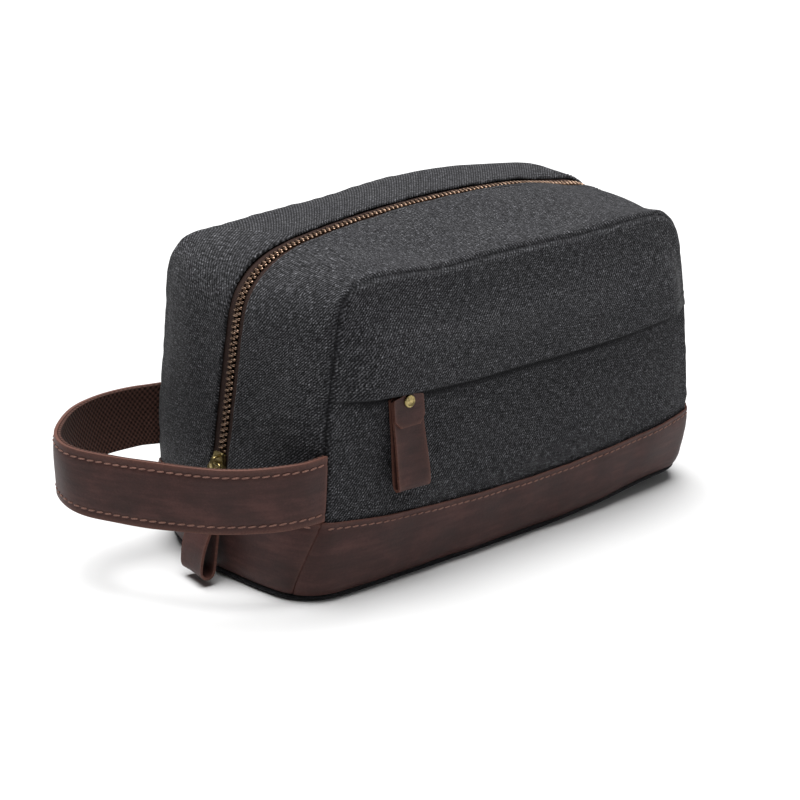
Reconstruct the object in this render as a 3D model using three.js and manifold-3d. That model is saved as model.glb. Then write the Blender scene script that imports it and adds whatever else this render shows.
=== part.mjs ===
// Shaving kit bag: a canvas wash bag with a leather base, a mouth zip that runs over
// the top and down both ends, a zipped front pocket under a flap, and a wrist strap.
// Millimetres, +Z up. X is the length (the strap is at the -X end), Y the depth (the
// pocket faces -Y). The origin is the middle of the flat underside.
import * as THREE from "three";
import { mergeVertices } from "three/addons/utils/BufferGeometryUtils.js";
import Module from "manifold-3d";

const wasm = await Module();
wasm.setup();

const degrees = THREE.MathUtils.degToRad;

// ---- driving dimensions ----
const SEAM_Y = 67; // the front and back panel seams lie on y = -67 and y = 67
const PANEL_TOP = 167; // height of the panel seams at mid-length
const PANEL_BULGE = 8; // how far the filled front and back stand out from their seams
const BASE_TOP = 43; // top edge of the leather base at the corners
const BASE_DIP = 7; // how much lower that edge is at mid-length, front and back
const LEATHER = 1.8; // sheet thicknesses
const CANVAS = 1.4;
const LINING = 1;
const GAP = 0.3; // clearance between neighbouring layers
const LINING_DEPTH = 3; // depth of the lining's outer side under the canvas face
const MOUTH_HALF = 7; // half the width of the slot that shows the main zip
const CANVAS_FOOT = 33; // the canvas ends behind the leather, this high

const POCKET_TOP = 106; // top edge of the pocket front
const FLAP_EDGE = 101.8; // lower edge of the flap over the pocket zip, where it sags most
const FLAP_HINGE = 117; // stitch line where the flap begins
const FLAP_LIFT = 7.4; // how far the flap stands off, to clear the slider
const POCKET_ZIP_Z = 111;
const POCKET_ZIP_Y = -70; // face plane of the pocket zip
const POCKET_ZIP_HALF = 108; // half the length of the pocket zip
const POCKET_ROOM = 7; // how deep the front pocket is

const TOOTH_GAP = 0.5; // half the gap between the two rows of teeth
const CHAIN_HALF = 2.9; // half the width of the closed chain
const TEETH_TOP = -0.4; // height of the teeth over the canvas face
const TEETH_BOTTOM = -3;
const TAPE_TOP = -1.5;
const TAPE_BOTTOM = -2.3;

const SLIDER_LENGTH = 12;
const SLIDER_HALF = 4.8; // half width
const SLIDER_TOP = 1.5; // upper face of the upper plate
const SLIDER_UNDER = -4.6; // lower face of the lower plate
const WIRE = 0.7; // radius of the bail's wire
const BAIL_HEIGHT = 2.6; // height of the bail's upper bar over the canvas face
const BAIL_DROP = 11; // from the bail's upper bar to its lower bar

const MAIN_SLIDER_AT = 14; // the parked slider's middle, along the end's zip line
const POCKET_SLIDER_X = -81;
// Each slider's ring and leather pull hang out from the zip's face by these angles, in
// degrees. The pull's tab ends at tab, and its loop gapes open by gape at the bottom fold.
const MAIN_PULL = { bailAngle: 14, pullAngle: 1, width: 22, length: 48, tab: 14.5, gape: 8 };
const POCKET_PULL = {
  bailAngle: 13.7, pullAngle: 4.8, width: 20, length: 50.5, tab: 17.2, gape: 2.2,
};

const STRAP_WIDTH = 34;
const STRAP_FRONT_Z = 61; // heights of the strap's middle where it is sewn in
const STRAP_BACK_Z = 67.5;
const STRAP_HINGE_X = -146.3; // the strap bends here, about a line along Y
const STRAP_FLARE = degrees(38); // its root tapers by this each side
const WEBBING = 1.5;

// The seam round the front and back panels, as bends (start, control, end) in x and z:
// base, side, corner, top, corner, side, base, from the strap end over the top.
const SEAM = [
  [[-143, 0], [-138.3, 21.7], [-134.9, 43]],
  [[-134.9, 43], [-127.7, 88], [-123.5, 141]],
  [[-123.5, 141], [-121.5, 160.5], [-104, 162.5]],
  [[-104, 162.5], [0, 172], [106, 163]],
  [[106, 163], [126.2, 161.4], [130.5, 140]],
  [[130.5, 140], [138.5, 100], [141.5, 43]],
  [[141.5, 43], [142.8, 20], [147, 0]],
];
// The crown line of the gusset, where the main zip runs, in the same seven bends.
// Its second one is straight, so the slider can travel on it.
const CROWN = [
  [[-150, 0], [-150.2, 25], [-149.6, 46]],
  [[-149.6, 46], [-142.3, 90], [-135, 134]],
  [[-135, 134], [-130.3, 162], [-92, 169]],
  [[-92, 169], [5, 185], [112, 172.5]],
  [[112, 172.5], [139, 169.3], [146, 134]],
  [[146, 134], [154, 94], [154, 46]],
  [[154, 46], [154.6, 22], [153, 0]],
];
const ENDS = { left: 0, right: SEAM.length };

// ---- materials ----
const paint = (color, roughness, metalness = 0) =>
  new THREE.MeshStandardMaterial({ color, roughness, metalness });
const canvas = paint(0x33363a, 0.95);
const leather = paint(0x3c2622, 0.6);
const lining = paint(0x4a4038, 0.9);
const webbing = paint(0x2e201c, 0.95);
const tape = paint(0x35241d, 0.95);
const board = paint(0x8a7a62, 0.9);
const brass = paint(0x8d7a48, 0.35, 1);
const copper = paint(0x8a6a50, 0.4, 1);

// ---- geometry helpers ----
const mix = (a, b, t) => a + (b - a) * t;
const clamp01 = (t) => Math.min(1, Math.max(0, t));
const smooth = (t) => clamp01(t) ** 2 * (3 - 2 * clamp01(t));

// The point of an outline at u, which counts its bends.
function along(outline, u) {
  const i = Math.min(outline.length - 1, Math.max(0, Math.floor(u)));
  const t = u - i;
  const [a, b, c] = outline[i];
  return [0, 1].map((k) => a[k] * (1 - t) ** 2 + 2 * b[k] * t * (1 - t) + c[k] * t * t);
}

// The u between low and high where an outline's coordinate k takes a value.
function solve(outline, k, value, low, high) {
  const rising = along(outline, high)[k] > along(outline, low)[k];
  for (let n = 0; n < 40; n++) {
    const middle = (low + high) / 2;
    if (along(outline, middle)[k] < value === rising) low = middle;
    else high = middle;
  }
  return low;
}

const LEFT_CORNER = 2.5; // middles of the seam's two upper corners
const RIGHT_CORNER = 4.5;
const leftSeam = (z) => along(SEAM, solve(SEAM, 1, z, ENDS.left, 3))[0];
const rightSeam = (z) => along(SEAM, solve(SEAM, 1, z, 4, ENDS.right))[0];
const topSeam = (x) => along(SEAM, solve(SEAM, 0, x, LEFT_CORNER, RIGHT_CORNER))[1];

// How far the front or back stands out at a place on it.
function bulge(x, z) {
  const level = Math.min(z, 162);
  const middle = (leftSeam(level) + rightSeam(level)) / 2;
  const half = (rightSeam(level) - leftSeam(level)) / 2;
  const across = 1 - Math.min(1, Math.abs((x - middle) / half)) ** 6;
  const upward = Math.sin(Math.PI * clamp01(z / PANEL_TOP) ** 0.55);
  return PANEL_BULGE * across * upward;
}

// 0 on the seam and 1 well inside it.
function inside(x, z, reach) {
  const level = Math.min(z, 162);
  const side = Math.min(x - leftSeam(level), rightSeam(level) - x);
  const over = topSeam(Math.min(120, Math.max(-116, x))) - z;
  return smooth(Math.min(side, over) / reach);
}

// A point on the front (side -1) or back (side 1), lifted outwards off its face.
const onPanel = (side, x, z, lift) => [x, side * (SEAM_Y + bulge(x, z) + lift), z];

// A panel region with level edges, between the two end seams.
const band = (low, high) => (a, b) => {
  const z = mix(low(a), high(a), b);
  return [mix(leftSeam(z) + GAP, rightSeam(z) - GAP, a), z];
};

// A panel region from a level lower edge up to the top seam, inset from that seam. Its
// rows run level at the foot and bend to follow the top.
const crest = (low, inset) => (a, b) => {
  const [cornerL, cornerR] = [along(SEAM, LEFT_CORNER), along(SEAM, RIGHT_CORNER)];
  const [side, over] = [inset * (1 - 0.3 * b), 0.7 * inset];
  const left = [leftSeam(mix(low, cornerL[1], b)) + side, mix(low, cornerL[1], b) - over * b];
  const right = [rightSeam(mix(low, cornerR[1], b)) - side, mix(low, cornerR[1], b) - over * b];
  const rimZ = mix(cornerL[1], cornerR[1], a) - over;
  const topZ = topSeam(mix(cornerL[0], cornerR[0], a)) - over;
  return [mix(left[0], right[0], a), mix(left[1], right[1], a) + b * (topZ - rimZ)];
};

// A point on the gusset: u along it, t from the panel seam (0) to the crown (1).
function onGusset(side, u, t, lift) {
  const rounding = 2.2 + 1.8 * smooth(1.6 - Math.min(u, ENDS.right - u));
  const at = (u, t) => {
    const f = 1 - Math.abs(1 - t) ** rounding;
    const s = along(SEAM, u);
    const c = along(CROWN, u);
    return new THREE.Vector3(mix(s[0], c[0], f), side * SEAM_Y * (1 - t), mix(s[1], c[1], f));
  };
  const e = 1e-3;
  const run = at(u + e, t).sub(at(u - e, t));
  const rise = at(u, t + e).sub(at(u, t - e));
  const normal = run.cross(rise).multiplyScalar(-side).normalize();
  return at(u, t).addScaledVector(normal, lift).toArray();
}
const across = (y) => 1 - Math.abs(y) / SEAM_Y; // t of a distance from the crown

// A closed sheet: place(a, b, 1) is its outer face, place(a, b, 0) its inner one.
function sheet(columns, rows, place) {
  const position = [];
  const index = [];
  const id = (i, j, k) => (k * (rows + 1) + j) * (columns + 1) + i;
  for (const k of [0, 1])
    for (let j = 0; j <= rows; j++)
      for (let i = 0; i <= columns; i++) position.push(...place(i / columns, j / rows, k));
  const quad = (a, b, c, d) => index.push(a, b, c, a, c, d);
  for (let j = 0; j < rows; j++)
    for (let i = 0; i < columns; i++) {
      quad(id(i, j, 1), id(i + 1, j, 1), id(i + 1, j + 1, 1), id(i, j + 1, 1));
      quad(id(i, j, 0), id(i, j + 1, 0), id(i + 1, j + 1, 0), id(i + 1, j, 0));
    }
  for (let i = 0; i < columns; i++) {
    quad(id(i, 0, 0), id(i + 1, 0, 0), id(i + 1, 0, 1), id(i, 0, 1));
    quad(id(i, rows, 1), id(i + 1, rows, 1), id(i + 1, rows, 0), id(i, rows, 0));
  }
  for (let j = 0; j < rows; j++) {
    quad(id(0, j, 1), id(0, j + 1, 1), id(0, j + 1, 0), id(0, j, 0));
    quad(id(columns, j, 0), id(columns, j + 1, 0), id(columns, j + 1, 1), id(columns, j, 1));
  }
  const geometry = new THREE.BufferGeometry();
  geometry.setAttribute("position", new THREE.Float32BufferAttribute(position, 3));
  geometry.setIndex(index);
  return facingOut(geometry);
}

// Turns every face round when a closed geometry is inside out.
function facingOut(geometry) {
  const p = geometry.attributes.position;
  const at = (i) => new THREE.Vector3().fromBufferAttribute(p, i);
  const index = Array.from(geometry.index.array);
  let volume = 0;
  for (let i = 0; i < index.length; i += 3)
    volume += at(index[i]).dot(at(index[i + 1]).cross(at(index[i + 2])));
  if (volume < 0)
    for (let i = 0; i < index.length; i += 3)
      [index[i + 1], index[i + 2]] = [index[i + 2], index[i + 1]];
  geometry.setIndex(index);
  geometry.computeVertexNormals();
  return geometry;
}

// A geometry as a solid that can be joined and cut, and back.
function solid(geometry) {
  const bare = geometry.clone();
  bare.deleteAttribute("normal");
  bare.deleteAttribute("uv");
  const merged = mergeVertices(bare, 1e-3);
  const vertProperties = merged.attributes.position.array;
  const triVerts = new Uint32Array(merged.index.array);
  return new wasm.Manifold(new wasm.Mesh({ numProp: 3, vertProperties, triVerts }));
}
function surface(made) {
  const { vertProperties, triVerts } = made.getMesh();
  const geometry = new THREE.BufferGeometry();
  geometry.setAttribute("position", new THREE.BufferAttribute(vertProperties, 3));
  geometry.setIndex(Array.from(triVerts));
  geometry.computeVertexNormals();
  return geometry;
}
const box = (x0, x1, y0, y1, z0, z1) =>
  new THREE.BoxGeometry(x1 - x0, y1 - y0, z1 - z0).translate(
    (x0 + x1) / 2,
    (y0 + y1) / 2,
    (z0 + z1) / 2,
  );
const joined = (parts) => surface(parts.map(solid).reduce((a, b) => a.add(b)));

const bag = new THREE.Group();
bag.name = "shaving_kit_bag";
function add(name, geometry, material, group = bag) {
  const mesh = new THREE.Mesh(geometry, material);
  mesh.name = name;
  group.add(mesh);
  return mesh;
}

// ---- base: bottom panel, board, floor lining and the leather bands ----
function floorPlate(inset, z0, z1) {
  const corner = 16;
  const [x0, x1, y] = [-145 + inset, 149 - inset, 64.5 - inset];
  const shape = new THREE.Shape();
  shape.moveTo(x0 + corner, -y);
  shape.lineTo(x1 - corner, -y);
  shape.absarc(x1 - corner, -y + corner, corner, -Math.PI / 2, 0);
  shape.absarc(x1 - corner, y - corner, corner, 0, Math.PI / 2);
  shape.absarc(x0 + corner, y - corner, corner, Math.PI / 2, Math.PI);
  shape.absarc(x0 + corner, -y + corner, corner, Math.PI, 1.5 * Math.PI);
  const options = { depth: z1 - z0, bevelEnabled: false, curveSegments: 5 };
  return new THREE.ExtrudeGeometry(shape, options).translate(0, 0, z0);
}
add("bottom_panel", floorPlate(0, 0, 1.6), canvas);
add("base_board", floorPlate(3, 1.9, 3.9), board);
add("lining_floor", floorPlate(5, 4.2, 5.2), lining);

const BASE_FOOT = 2.4;
const baseEdge = (a) => BASE_TOP - BASE_DIP * Math.sin(Math.PI * a);
for (const [name, side] of [["front", -1], ["back", 1]]) {
  const region = band(() => BASE_FOOT, baseEdge);
  add(
    `base_band_${name}`,
    sheet(18, 4, (a, b, k) => onPanel(side, ...region(a, b), GAP + LEATHER * k)),
    leather,
  );
}
for (const [name, foot, top] of [["left", 0.1, 0.98], ["right", 6.9, 6.02]])
  add(
    `base_band_${name}`,
    sheet(4, 12, (a, b, k) => {
      const y = mix(-66.3, 66.3, b);
      return onGusset(y < 0 ? -1 : 1, mix(foot, top, a), across(y), GAP + LEATHER * k);
    }),
    leather,
  );

// ---- canvas walls ----
const pocketFront = band((a) => baseEdge(a) - 8, () => POCKET_TOP);
add(
  "pocket_front_panel",
  sheet(18, 6, (a, b, k) => onPanel(-1, ...pocketFront(a, b), CANVAS * (k - 1))),
  canvas,
);
// The upper front stands off towards its lower edge, where it covers the pocket zip.
const standOff = (x, z) =>
  FLAP_LIFT * smooth((PANEL_TOP - 12 - z) / 38) * inside(x, z, 22);
const upperFront = crest(FLAP_HINGE + GAP, GAP);
add(
  "upper_front_panel",
  sheet(20, 6, (a, b, k) => {
    const [x, z] = upperFront(a, b);
    return onPanel(-1, x, z, standOff(x, z) + CANVAS * (k - 1));
  }),
  canvas,
);
// Its edge rises towards both seams.
const flapRise = (a) =>
  3.6 * Math.max(0, 1 - a / 0.32) ** 1.3 + 3.2 * Math.max(0, (a - 0.6) / 0.4) ** 2;
const flap = band((a) => FLAP_EDGE + flapRise(a), () => FLAP_HINGE);
add(
  "pocket_flap",
  sheet(20, 2, (a, b, k) => {
    const [x, z] = flap(a, b);
    return onPanel(-1, x, z, GAP + CANVAS + standOff(x, z) + CANVAS * (k - 1));
  }),
  canvas,
);
const backWall = crest(CANVAS_FOOT, GAP);
add(
  "back_panel",
  sheet(18, 9, (a, b, k) => onPanel(1, ...backWall(a, b), CANVAS * (k - 1))),
  canvas,
);

// The stations along the gusset: few on its straight stretches, more round corners.
function stations(first, last) {
  const steps = [2, 4, 6, 10, 6, 4, 2];
  const list = steps.flatMap((n, i) => Array.from({ length: n }, (_, k) => i + k / n));
  return [first, ...list.filter((u) => u > first + 0.05 && u < last - 0.05), last];
}
function gussetStrip(side, first, last, yOut, yIn, columns, low, high) {
  const list = stations(first, last);
  return sheet(list.length - 1, columns, (a, b, k) => {
    const u = list[Math.round(a * (list.length - 1))];
    return onGusset(side, u, across(mix(yOut, yIn, b)), k ? high : low);
  });
}
const CANVAS_U = 0.75; // u where the canvas and the lining start, behind the leather
const ZIP_U = 0.9; // u where the zip tape starts
const TEETH_U = 1.02;
for (const [name, side] of [["front", -1], ["back", 1]]) {
  const strip = (node, material, start, ...rest) =>
    add(node, gussetStrip(side, start, ENDS.right - start, ...rest), material);
  strip(`gusset_${name}`, canvas, CANVAS_U, 65.2, MOUTH_HALF, 6, -CANVAS, 0);
  strip(`main_zip_tape_${name}`, tape, ZIP_U, 14, CHAIN_HALF + GAP, 1, TAPE_BOTTOM, TAPE_TOP);
  strip(`main_zip_teeth_${name}`, copper, TEETH_U, CHAIN_HALF, TOOTH_GAP, 1, TEETH_BOTTOM, TEETH_TOP);
  strip(
    `gusset_lining_${name}`, lining, 0.2,
    61.5, 9, 4, -LINING_DEPTH - LINING, -LINING_DEPTH,
  );
}
for (const [name, u, side] of [["left", TEETH_U, -1], ["right", ENDS.right - TEETH_U, 1]]) {
  const [x, , z] = onGusset(-1, u, 1, 0);
  const reach = [x + side * TEETH_BOTTOM, x].sort((a, b) => a - b);
  const stop = box(...reach, -CHAIN_HALF, CHAIN_HALF, z - 3.6, z - 0.8);
  add(`main_zip_stop_${name}`, stop, brass);
}

// ---- lining and the pockets ----
// The front lining passes behind the pocket, and both linings meet the seams.
const liningRegion = crest(8, 3);
const frontDepth = (x, z) => LINING_DEPTH + 1 + (POCKET_ROOM + 1.5) * inside(x, z, 22);
add(
  "lining_front",
  sheet(16, 8, (a, b, k) => {
    const [x, z] = liningRegion(a, b);
    return onPanel(-1, x, z, -frontDepth(x, z) - LINING + LINING * k);
  }),
  lining,
);
add(
  "lining_back",
  sheet(16, 8, (a, b, k) => {
    const [x, z] = liningRegion(a, b);
    return onPanel(1, x, z, -LINING_DEPTH - 1 - LINING + LINING * k);
  }),
  lining,
);
// A pouch between two panels: open at the top, and closed on its other three edges.
const pouchDepth = (a, b, room) =>
  room * smooth(a * 7) * smooth((1 - a) * 7) * smooth(b * 4);
const pocketBag = (a, b) => [mix(-112, 118, a), mix(50, 98.6, b)];
add(
  "front_pocket_bag",
  sheet(14, 6, (a, b, k) => {
    const [x, z] = pocketBag(a, b);
    const depth = CANVAS + GAP + pouchDepth(a, b, POCKET_ROOM);
    return onPanel(-1, x, z, -depth - 0.8 + 0.8 * k);
  }),
  lining,
);
const slipPocket = (a, b) => [mix(-70, 76, a), mix(32, 105, b)];
add(
  "slip_pocket",
  sheet(14, 6, (a, b, k) => {
    const [x, z] = slipPocket(a, b);
    const depth = LINING_DEPTH + 2 + GAP + pouchDepth(a, b, POCKET_ROOM);
    return onPanel(1, x, z, -depth - LINING + LINING * k);
  }),
  lining,
);

// ---- pocket zip ----
const zipY = (lift) => POCKET_ZIP_Y - lift;
const rail = (half, z0, z1, low, high) =>
  box(-half, half, zipY(high), zipY(low), POCKET_ZIP_Z + z0, POCKET_ZIP_Z + z1);
const toothHalf = POCKET_ZIP_HALF - 3.2;
add("pocket_zip_tape_upper", rail(POCKET_ZIP_HALF, CHAIN_HALF + GAP, 12, TAPE_BOTTOM, TAPE_TOP), tape);
add("pocket_zip_tape_lower", rail(POCKET_ZIP_HALF, -12, -CHAIN_HALF - GAP, TAPE_BOTTOM, TAPE_TOP), tape);
add("pocket_zip_teeth_upper", rail(toothHalf, TOOTH_GAP, CHAIN_HALF, TEETH_BOTTOM, TEETH_TOP), copper);
add("pocket_zip_teeth_lower", rail(toothHalf, -CHAIN_HALF, -TOOTH_GAP, TEETH_BOTTOM, TEETH_TOP), copper);
for (const [name, side] of [["left", -1], ["right", 1]]) {
  const near = side * (toothHalf + GAP);
  const far = side * POCKET_ZIP_HALF;
  const ends = [Math.min(near, far), Math.max(near, far)];
  const clamp = [zipY(TEETH_TOP), zipY(TEETH_BOTTOM)];
  const rise = [POCKET_ZIP_Z - CHAIN_HALF, POCKET_ZIP_Z + CHAIN_HALF];
  add(`pocket_zip_stop_${name}`, box(...ends, ...clamp, ...rise), brass);
}

// ---- slider, bail and leather pull, in a frame of their own ----
// Local x is the travel, y the width of the zip and z outwards from the canvas face.
const BRIDGE_HALF = 4.4;
const BRIDGE_LEG = 1.4;
const BRIDGE_TOP = 5.7;
function sliderBody() {
  const l = SLIDER_LENGTH / 2;
  const w = SLIDER_HALF;
  const foot = TEETH_TOP + GAP;
  const inner = CHAIN_HALF + GAP;
  return joined([
    box(-l, l, -w, w, foot, SLIDER_TOP),
    box(-l, l, -w, w, SLIDER_UNDER, TEETH_BOTTOM - GAP),
    box(-l, l, -w, -inner, TAPE_TOP + GAP, foot + 0.1),
    box(-l, l, inner, w, TAPE_TOP + GAP, foot + 0.1),
    box(-1, 1, -0.2, 0.2, TEETH_BOTTOM - GAP - 0.1, foot + 0.1),
    box(-BRIDGE_HALF, BRIDGE_LEG - BRIDGE_HALF, -1.2, 1.2, SLIDER_TOP - 0.1, BRIDGE_TOP),
    box(BRIDGE_HALF - BRIDGE_LEG, BRIDGE_HALF, -1.2, 1.2, SLIDER_TOP - 0.1, BRIDGE_TOP),
    box(-BRIDGE_HALF, BRIDGE_HALF, -1.2, 1.2, BRIDGE_TOP - 1, BRIDGE_TOP),
  ]);
}
// A wire ring in the xy plane, its upper bar along y through the origin, hanging to -x.
function bailRing(half) {
  const bend = 1.6;
  const arc = (cx, cy, from, to) =>
    Array.from({ length: 4 }, (_, n) => {
      const angle = mix(from, to, n / 3);
      return new THREE.Vector3(cx + bend * Math.cos(angle), cy + bend * Math.sin(angle), 0);
    });
  const h = half - bend;
  const d = BAIL_DROP - bend;
  const points = [
    ...arc(-bend, h, 0, Math.PI / 2),
    ...arc(-d, h, Math.PI / 2, Math.PI),
    ...arc(-d, -h, Math.PI, 1.5 * Math.PI),
    ...arc(-bend, -h, 1.5 * Math.PI, 2 * Math.PI),
  ];
  const route = new THREE.CatmullRomCurve3(points, true, "centripetal");
  return new THREE.TubeGeometry(route, 40, WIRE, 8, true);
}
// A leather strip folded round the bail's lower bar at the origin and riveted below it:
// a short tab on the outside, over a long loop that hangs to -x and gapes outwards (+z).
const STRIP = 1.5;
const RIVET_DROP = 4;
const RIVET_HOLE = 1.5;
const HEAD = WIRE + 0.25 + STRIP; // outer radius of the fold round the bar
const BACK = -1.4 * STRIP; // outer side of the loop's back layer
const FRONT = BACK + 3 * STRIP; // outer side of the tab
function pullStrip({ width, length, tab, gape }) {
  const gap = (p) => GAP + gape * smooth((p - 9) / (length - 18));
  const loop = (p) => BACK + 2 * STRIP + gap(p) - GAP;
  const steps = (from, to, n) => Array.from({ length: n + 1 }, (_, i) => mix(from, to, i / n));
  const shape = new THREE.Shape();
  shape.absarc(0, 0, HEAD, 1.5 * Math.PI, Math.PI / 2, true);
  shape.lineTo(3.5, FRONT);
  for (const p of steps(9, tab, 2)) shape.lineTo(p, loop(p) + STRIP);
  for (const p of steps(tab + 0.8, length - 3, 7)) shape.lineTo(p, loop(p));
  shape.lineTo(length - 0.9, loop(length) - 0.8);
  shape.lineTo(length, loop(length) / 2 + BACK / 2);
  shape.lineTo(length - 0.8, BACK + 0.7);
  shape.lineTo(length - 2.5, BACK);
  shape.lineTo(3.5, BACK);
  const slit = new THREE.Path();
  slit.moveTo(9, BACK + STRIP);
  slit.lineTo(length - 3.5, BACK + STRIP);
  for (const p of steps(length - 3.5, 9, 8)) slit.lineTo(p, BACK + STRIP + gap(p));
  const eye = new THREE.Path();
  eye.absarc(0, 0, WIRE + 0.25, 0, 2 * Math.PI);
  shape.holes.push(slit, eye);
  const strip = new THREE.ExtrudeGeometry(shape, {
    depth: width,
    bevelEnabled: false,
    curveSegments: 6,
  });
  strip.translate(0, 0, -width / 2).applyMatrix4(
    new THREE.Matrix4().makeBasis(
      new THREE.Vector3(-1, 0, 0),
      new THREE.Vector3(0, 0, 1),
      new THREE.Vector3(0, 1, 0),
    ),
  );
  const drill = (radius, low, high) =>
    new THREE.CylinderGeometry(radius, radius, high - low, 16)
      .rotateX(Math.PI / 2)
      .translate(-RIVET_DROP, 0, (low + high) / 2);
  const cut = [
    drill(RIVET_HOLE, BACK - 1, FRONT + 1),
    drill(3.1, BACK - 1, BACK + 1),
    box(-1.3, HEAD + 1, NECK_HALF, width, -HEAD - 1, HEAD + 1),
    box(-1.3, HEAD + 1, -width, -NECK_HALF, -HEAD - 1, HEAD + 1),
  ];
  return surface(cut.map(solid).reduce((a, b) => a.subtract(b), solid(strip)));
}
const BAIL_HALF = 4.2; // half the ring's width, to the middle of its wire
const NECK_HALF = BAIL_HALF - WIRE - GAP; // the strip's neck passes through the ring

// A domed rivet with its post, and the washer it is set in, flush in the strip's back.
function rivetHead() {
  const profile = [[0, FRONT + 1.6], [1.6, FRONT + 1.45], [2.9, FRONT + 0.9], [3.4, FRONT + GAP]];
  profile.push([1.2, FRONT + GAP], [1.2, BACK + 1], [0, BACK + 1]);
  return lathed(profile);
}
const rivetWasher = () => lathed([[0, BACK + 0.7], [2.8, BACK + 0.7], [2.8, BACK], [0, BACK]]);
function lathed(profile) {
  const points = profile.map(([r, z]) => new THREE.Vector2(r, z)).reverse();
  return new THREE.LatheGeometry(points, 20).rotateX(Math.PI / 2).translate(-RIVET_DROP, 0, 0);
}

// A slider with its ring, which hangs from the given place on it, and its pull.
function zipPull(prefix, slider, hang, sizes) {
  add(`${prefix}_slider_body`, sliderBody(), brass, slider);
  const turned = new THREE.Group();
  turned.position.set(hang.x, hang.y, BAIL_HEIGHT);
  turned.rotation.z = hang.turn;
  const bail = new THREE.Group();
  bail.name = `${prefix}_bail_frame`;
  bail.rotation.y = degrees(sizes.bailAngle);
  const pull = new THREE.Group();
  pull.name = `${prefix}_pull_frame`;
  pull.position.x = -BAIL_DROP;
  pull.rotation.y = degrees(sizes.pullAngle - sizes.bailAngle);
  slider.add(turned);
  turned.add(bail);
  bail.add(pull);
  add(`${prefix}_bail`, bailRing(BAIL_HALF), brass, bail);
  add(`${prefix}_pull_strip`, pullStrip(sizes), leather, pull);
  add(`${prefix}_pull_rivet`, rivetHead(), brass, pull);
  add(`${prefix}_pull_washer`, rivetWasher(), brass, pull);
}

// The main slider, parked at the strap end of its zip.
const [foot, head] = [CROWN[1][0], CROWN[1][2]];
const climb = new THREE.Vector3(head[0] - foot[0], 0, head[1] - foot[1]).normalize();
const outward = new THREE.Vector3(-climb.z, 0, climb.x);
const mainSlider = new THREE.Group();
mainSlider.name = "main_slider_frame";
mainSlider.position.set(foot[0], 0, foot[1]).addScaledVector(climb, MAIN_SLIDER_AT);
mainSlider.setRotationFromMatrix(
  new THREE.Matrix4().makeBasis(climb, new THREE.Vector3(0, 1, 0), outward),
);
bag.add(mainSlider);
zipPull("main", mainSlider, { x: 0, y: 0, turn: 0 }, MAIN_PULL);

// The pocket slider. Its ring hangs from one leg of the bridge.
const pocketSlider = new THREE.Group();
pocketSlider.name = "pocket_slider_frame";
pocketSlider.position.set(POCKET_SLIDER_X, POCKET_ZIP_Y, POCKET_ZIP_Z);
pocketSlider.rotation.x = Math.PI / 2;
bag.add(pocketSlider);
const pocketHang = { x: -BRIDGE_HALF - 0.4, y: 1.2 + GAP + WIRE, turn: Math.PI / 2 };
zipPull("pocket", pocketSlider, pocketHang, POCKET_PULL);

// ---- wrist strap: leather outside, webbing inside, between the two left-end seams ----
// The middle line of the loop, from the front root round to the back one.
const LOOP = [
  [STRAP_HINGE_X, -67.3, STRAP_FRONT_Z],
  [-161, -61, 60.4],
  [-174.5, -51, 60],
  [-186, -39, 60],
  [-200, -16, 60],
  [-209, 4, 60],
  [-214.5, 22, 60],
  [-215, 36, 61],
  [-209, 51, 62],
  [-198, 62.5, 63.5],
  [-184, 70.5, 65],
  [-166, 74.3, 66.5],
  [STRAP_HINGE_X, 72, STRAP_BACK_Z],
].map((p) => new THREE.Vector3(...p));
const loop = new THREE.CatmullRomCurve3(LOOP, false, "centripetal");
function strapLayer(near, far) {
  return sheet(44, 1, (a, b, k) => {
    const p = loop.getPointAt(mix(0.003, 0.997, a));
    const direction = loop.getTangentAt(a);
    const normal = new THREE.Vector3(-direction.y, direction.x, 0).normalize();
    p.addScaledVector(normal, mix(near, far, k));
    const taper = 0.4 + (STRAP_HINGE_X - p.x) / Math.tan(STRAP_FLARE);
    const half = Math.min(STRAP_WIDTH / 2, Math.max(0.4, taper));
    return [p.x, p.y, p.z + half * (2 * b - 1)];
  });
}
add("strap_leather", strapLayer(GAP / 2, LEATHER + GAP / 2), leather);
add("strap_webbing", strapLayer(-WEBBING - GAP / 2, -GAP / 2), webbing);
// The fixed roots, sewn into the corner seams: they end where the loop bends.
function strapRoot(side, seamGap, near, far) {
  const end = side < 0 ? LOOP[0] : LOOP[LOOP.length - 1];
  return sheet(3, 6, (a, b, k) => {
    const z = end.z + STRAP_WIDTH * (b - 0.5);
    const seam = leftSeam(z) - seamGap;
    const lift = mix(near, far, k);
    return [mix(seam, STRAP_HINGE_X + GAP, a), side * (mix(SEAM_Y + 0.3, Math.abs(end.y), a) + lift), z];
  });
}
for (const [name, side] of [["front", -1], ["back", 1]]) {
  add(`strap_root_leather_${name}`, strapRoot(side, GAP, GAP / 2, LEATHER + GAP / 2), leather);
  add(`strap_root_webbing_${name}`, strapRoot(side, 1.8, -GAP / 2, -WEBBING - GAP / 2), webbing);
}

export default bag;
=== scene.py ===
"""Looks of the shaving kit bag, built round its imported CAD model.

Shapes are worked out in millimetres in the CAD frame: +X is the length, away from the
wrist strap, +Y the back, away from the pocket, +Z up. mesh_piece() turns them to metres.
"""

import math
import random

import bmesh
import bpy
import numpy as np
from mathutils import Matrix, Vector


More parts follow.
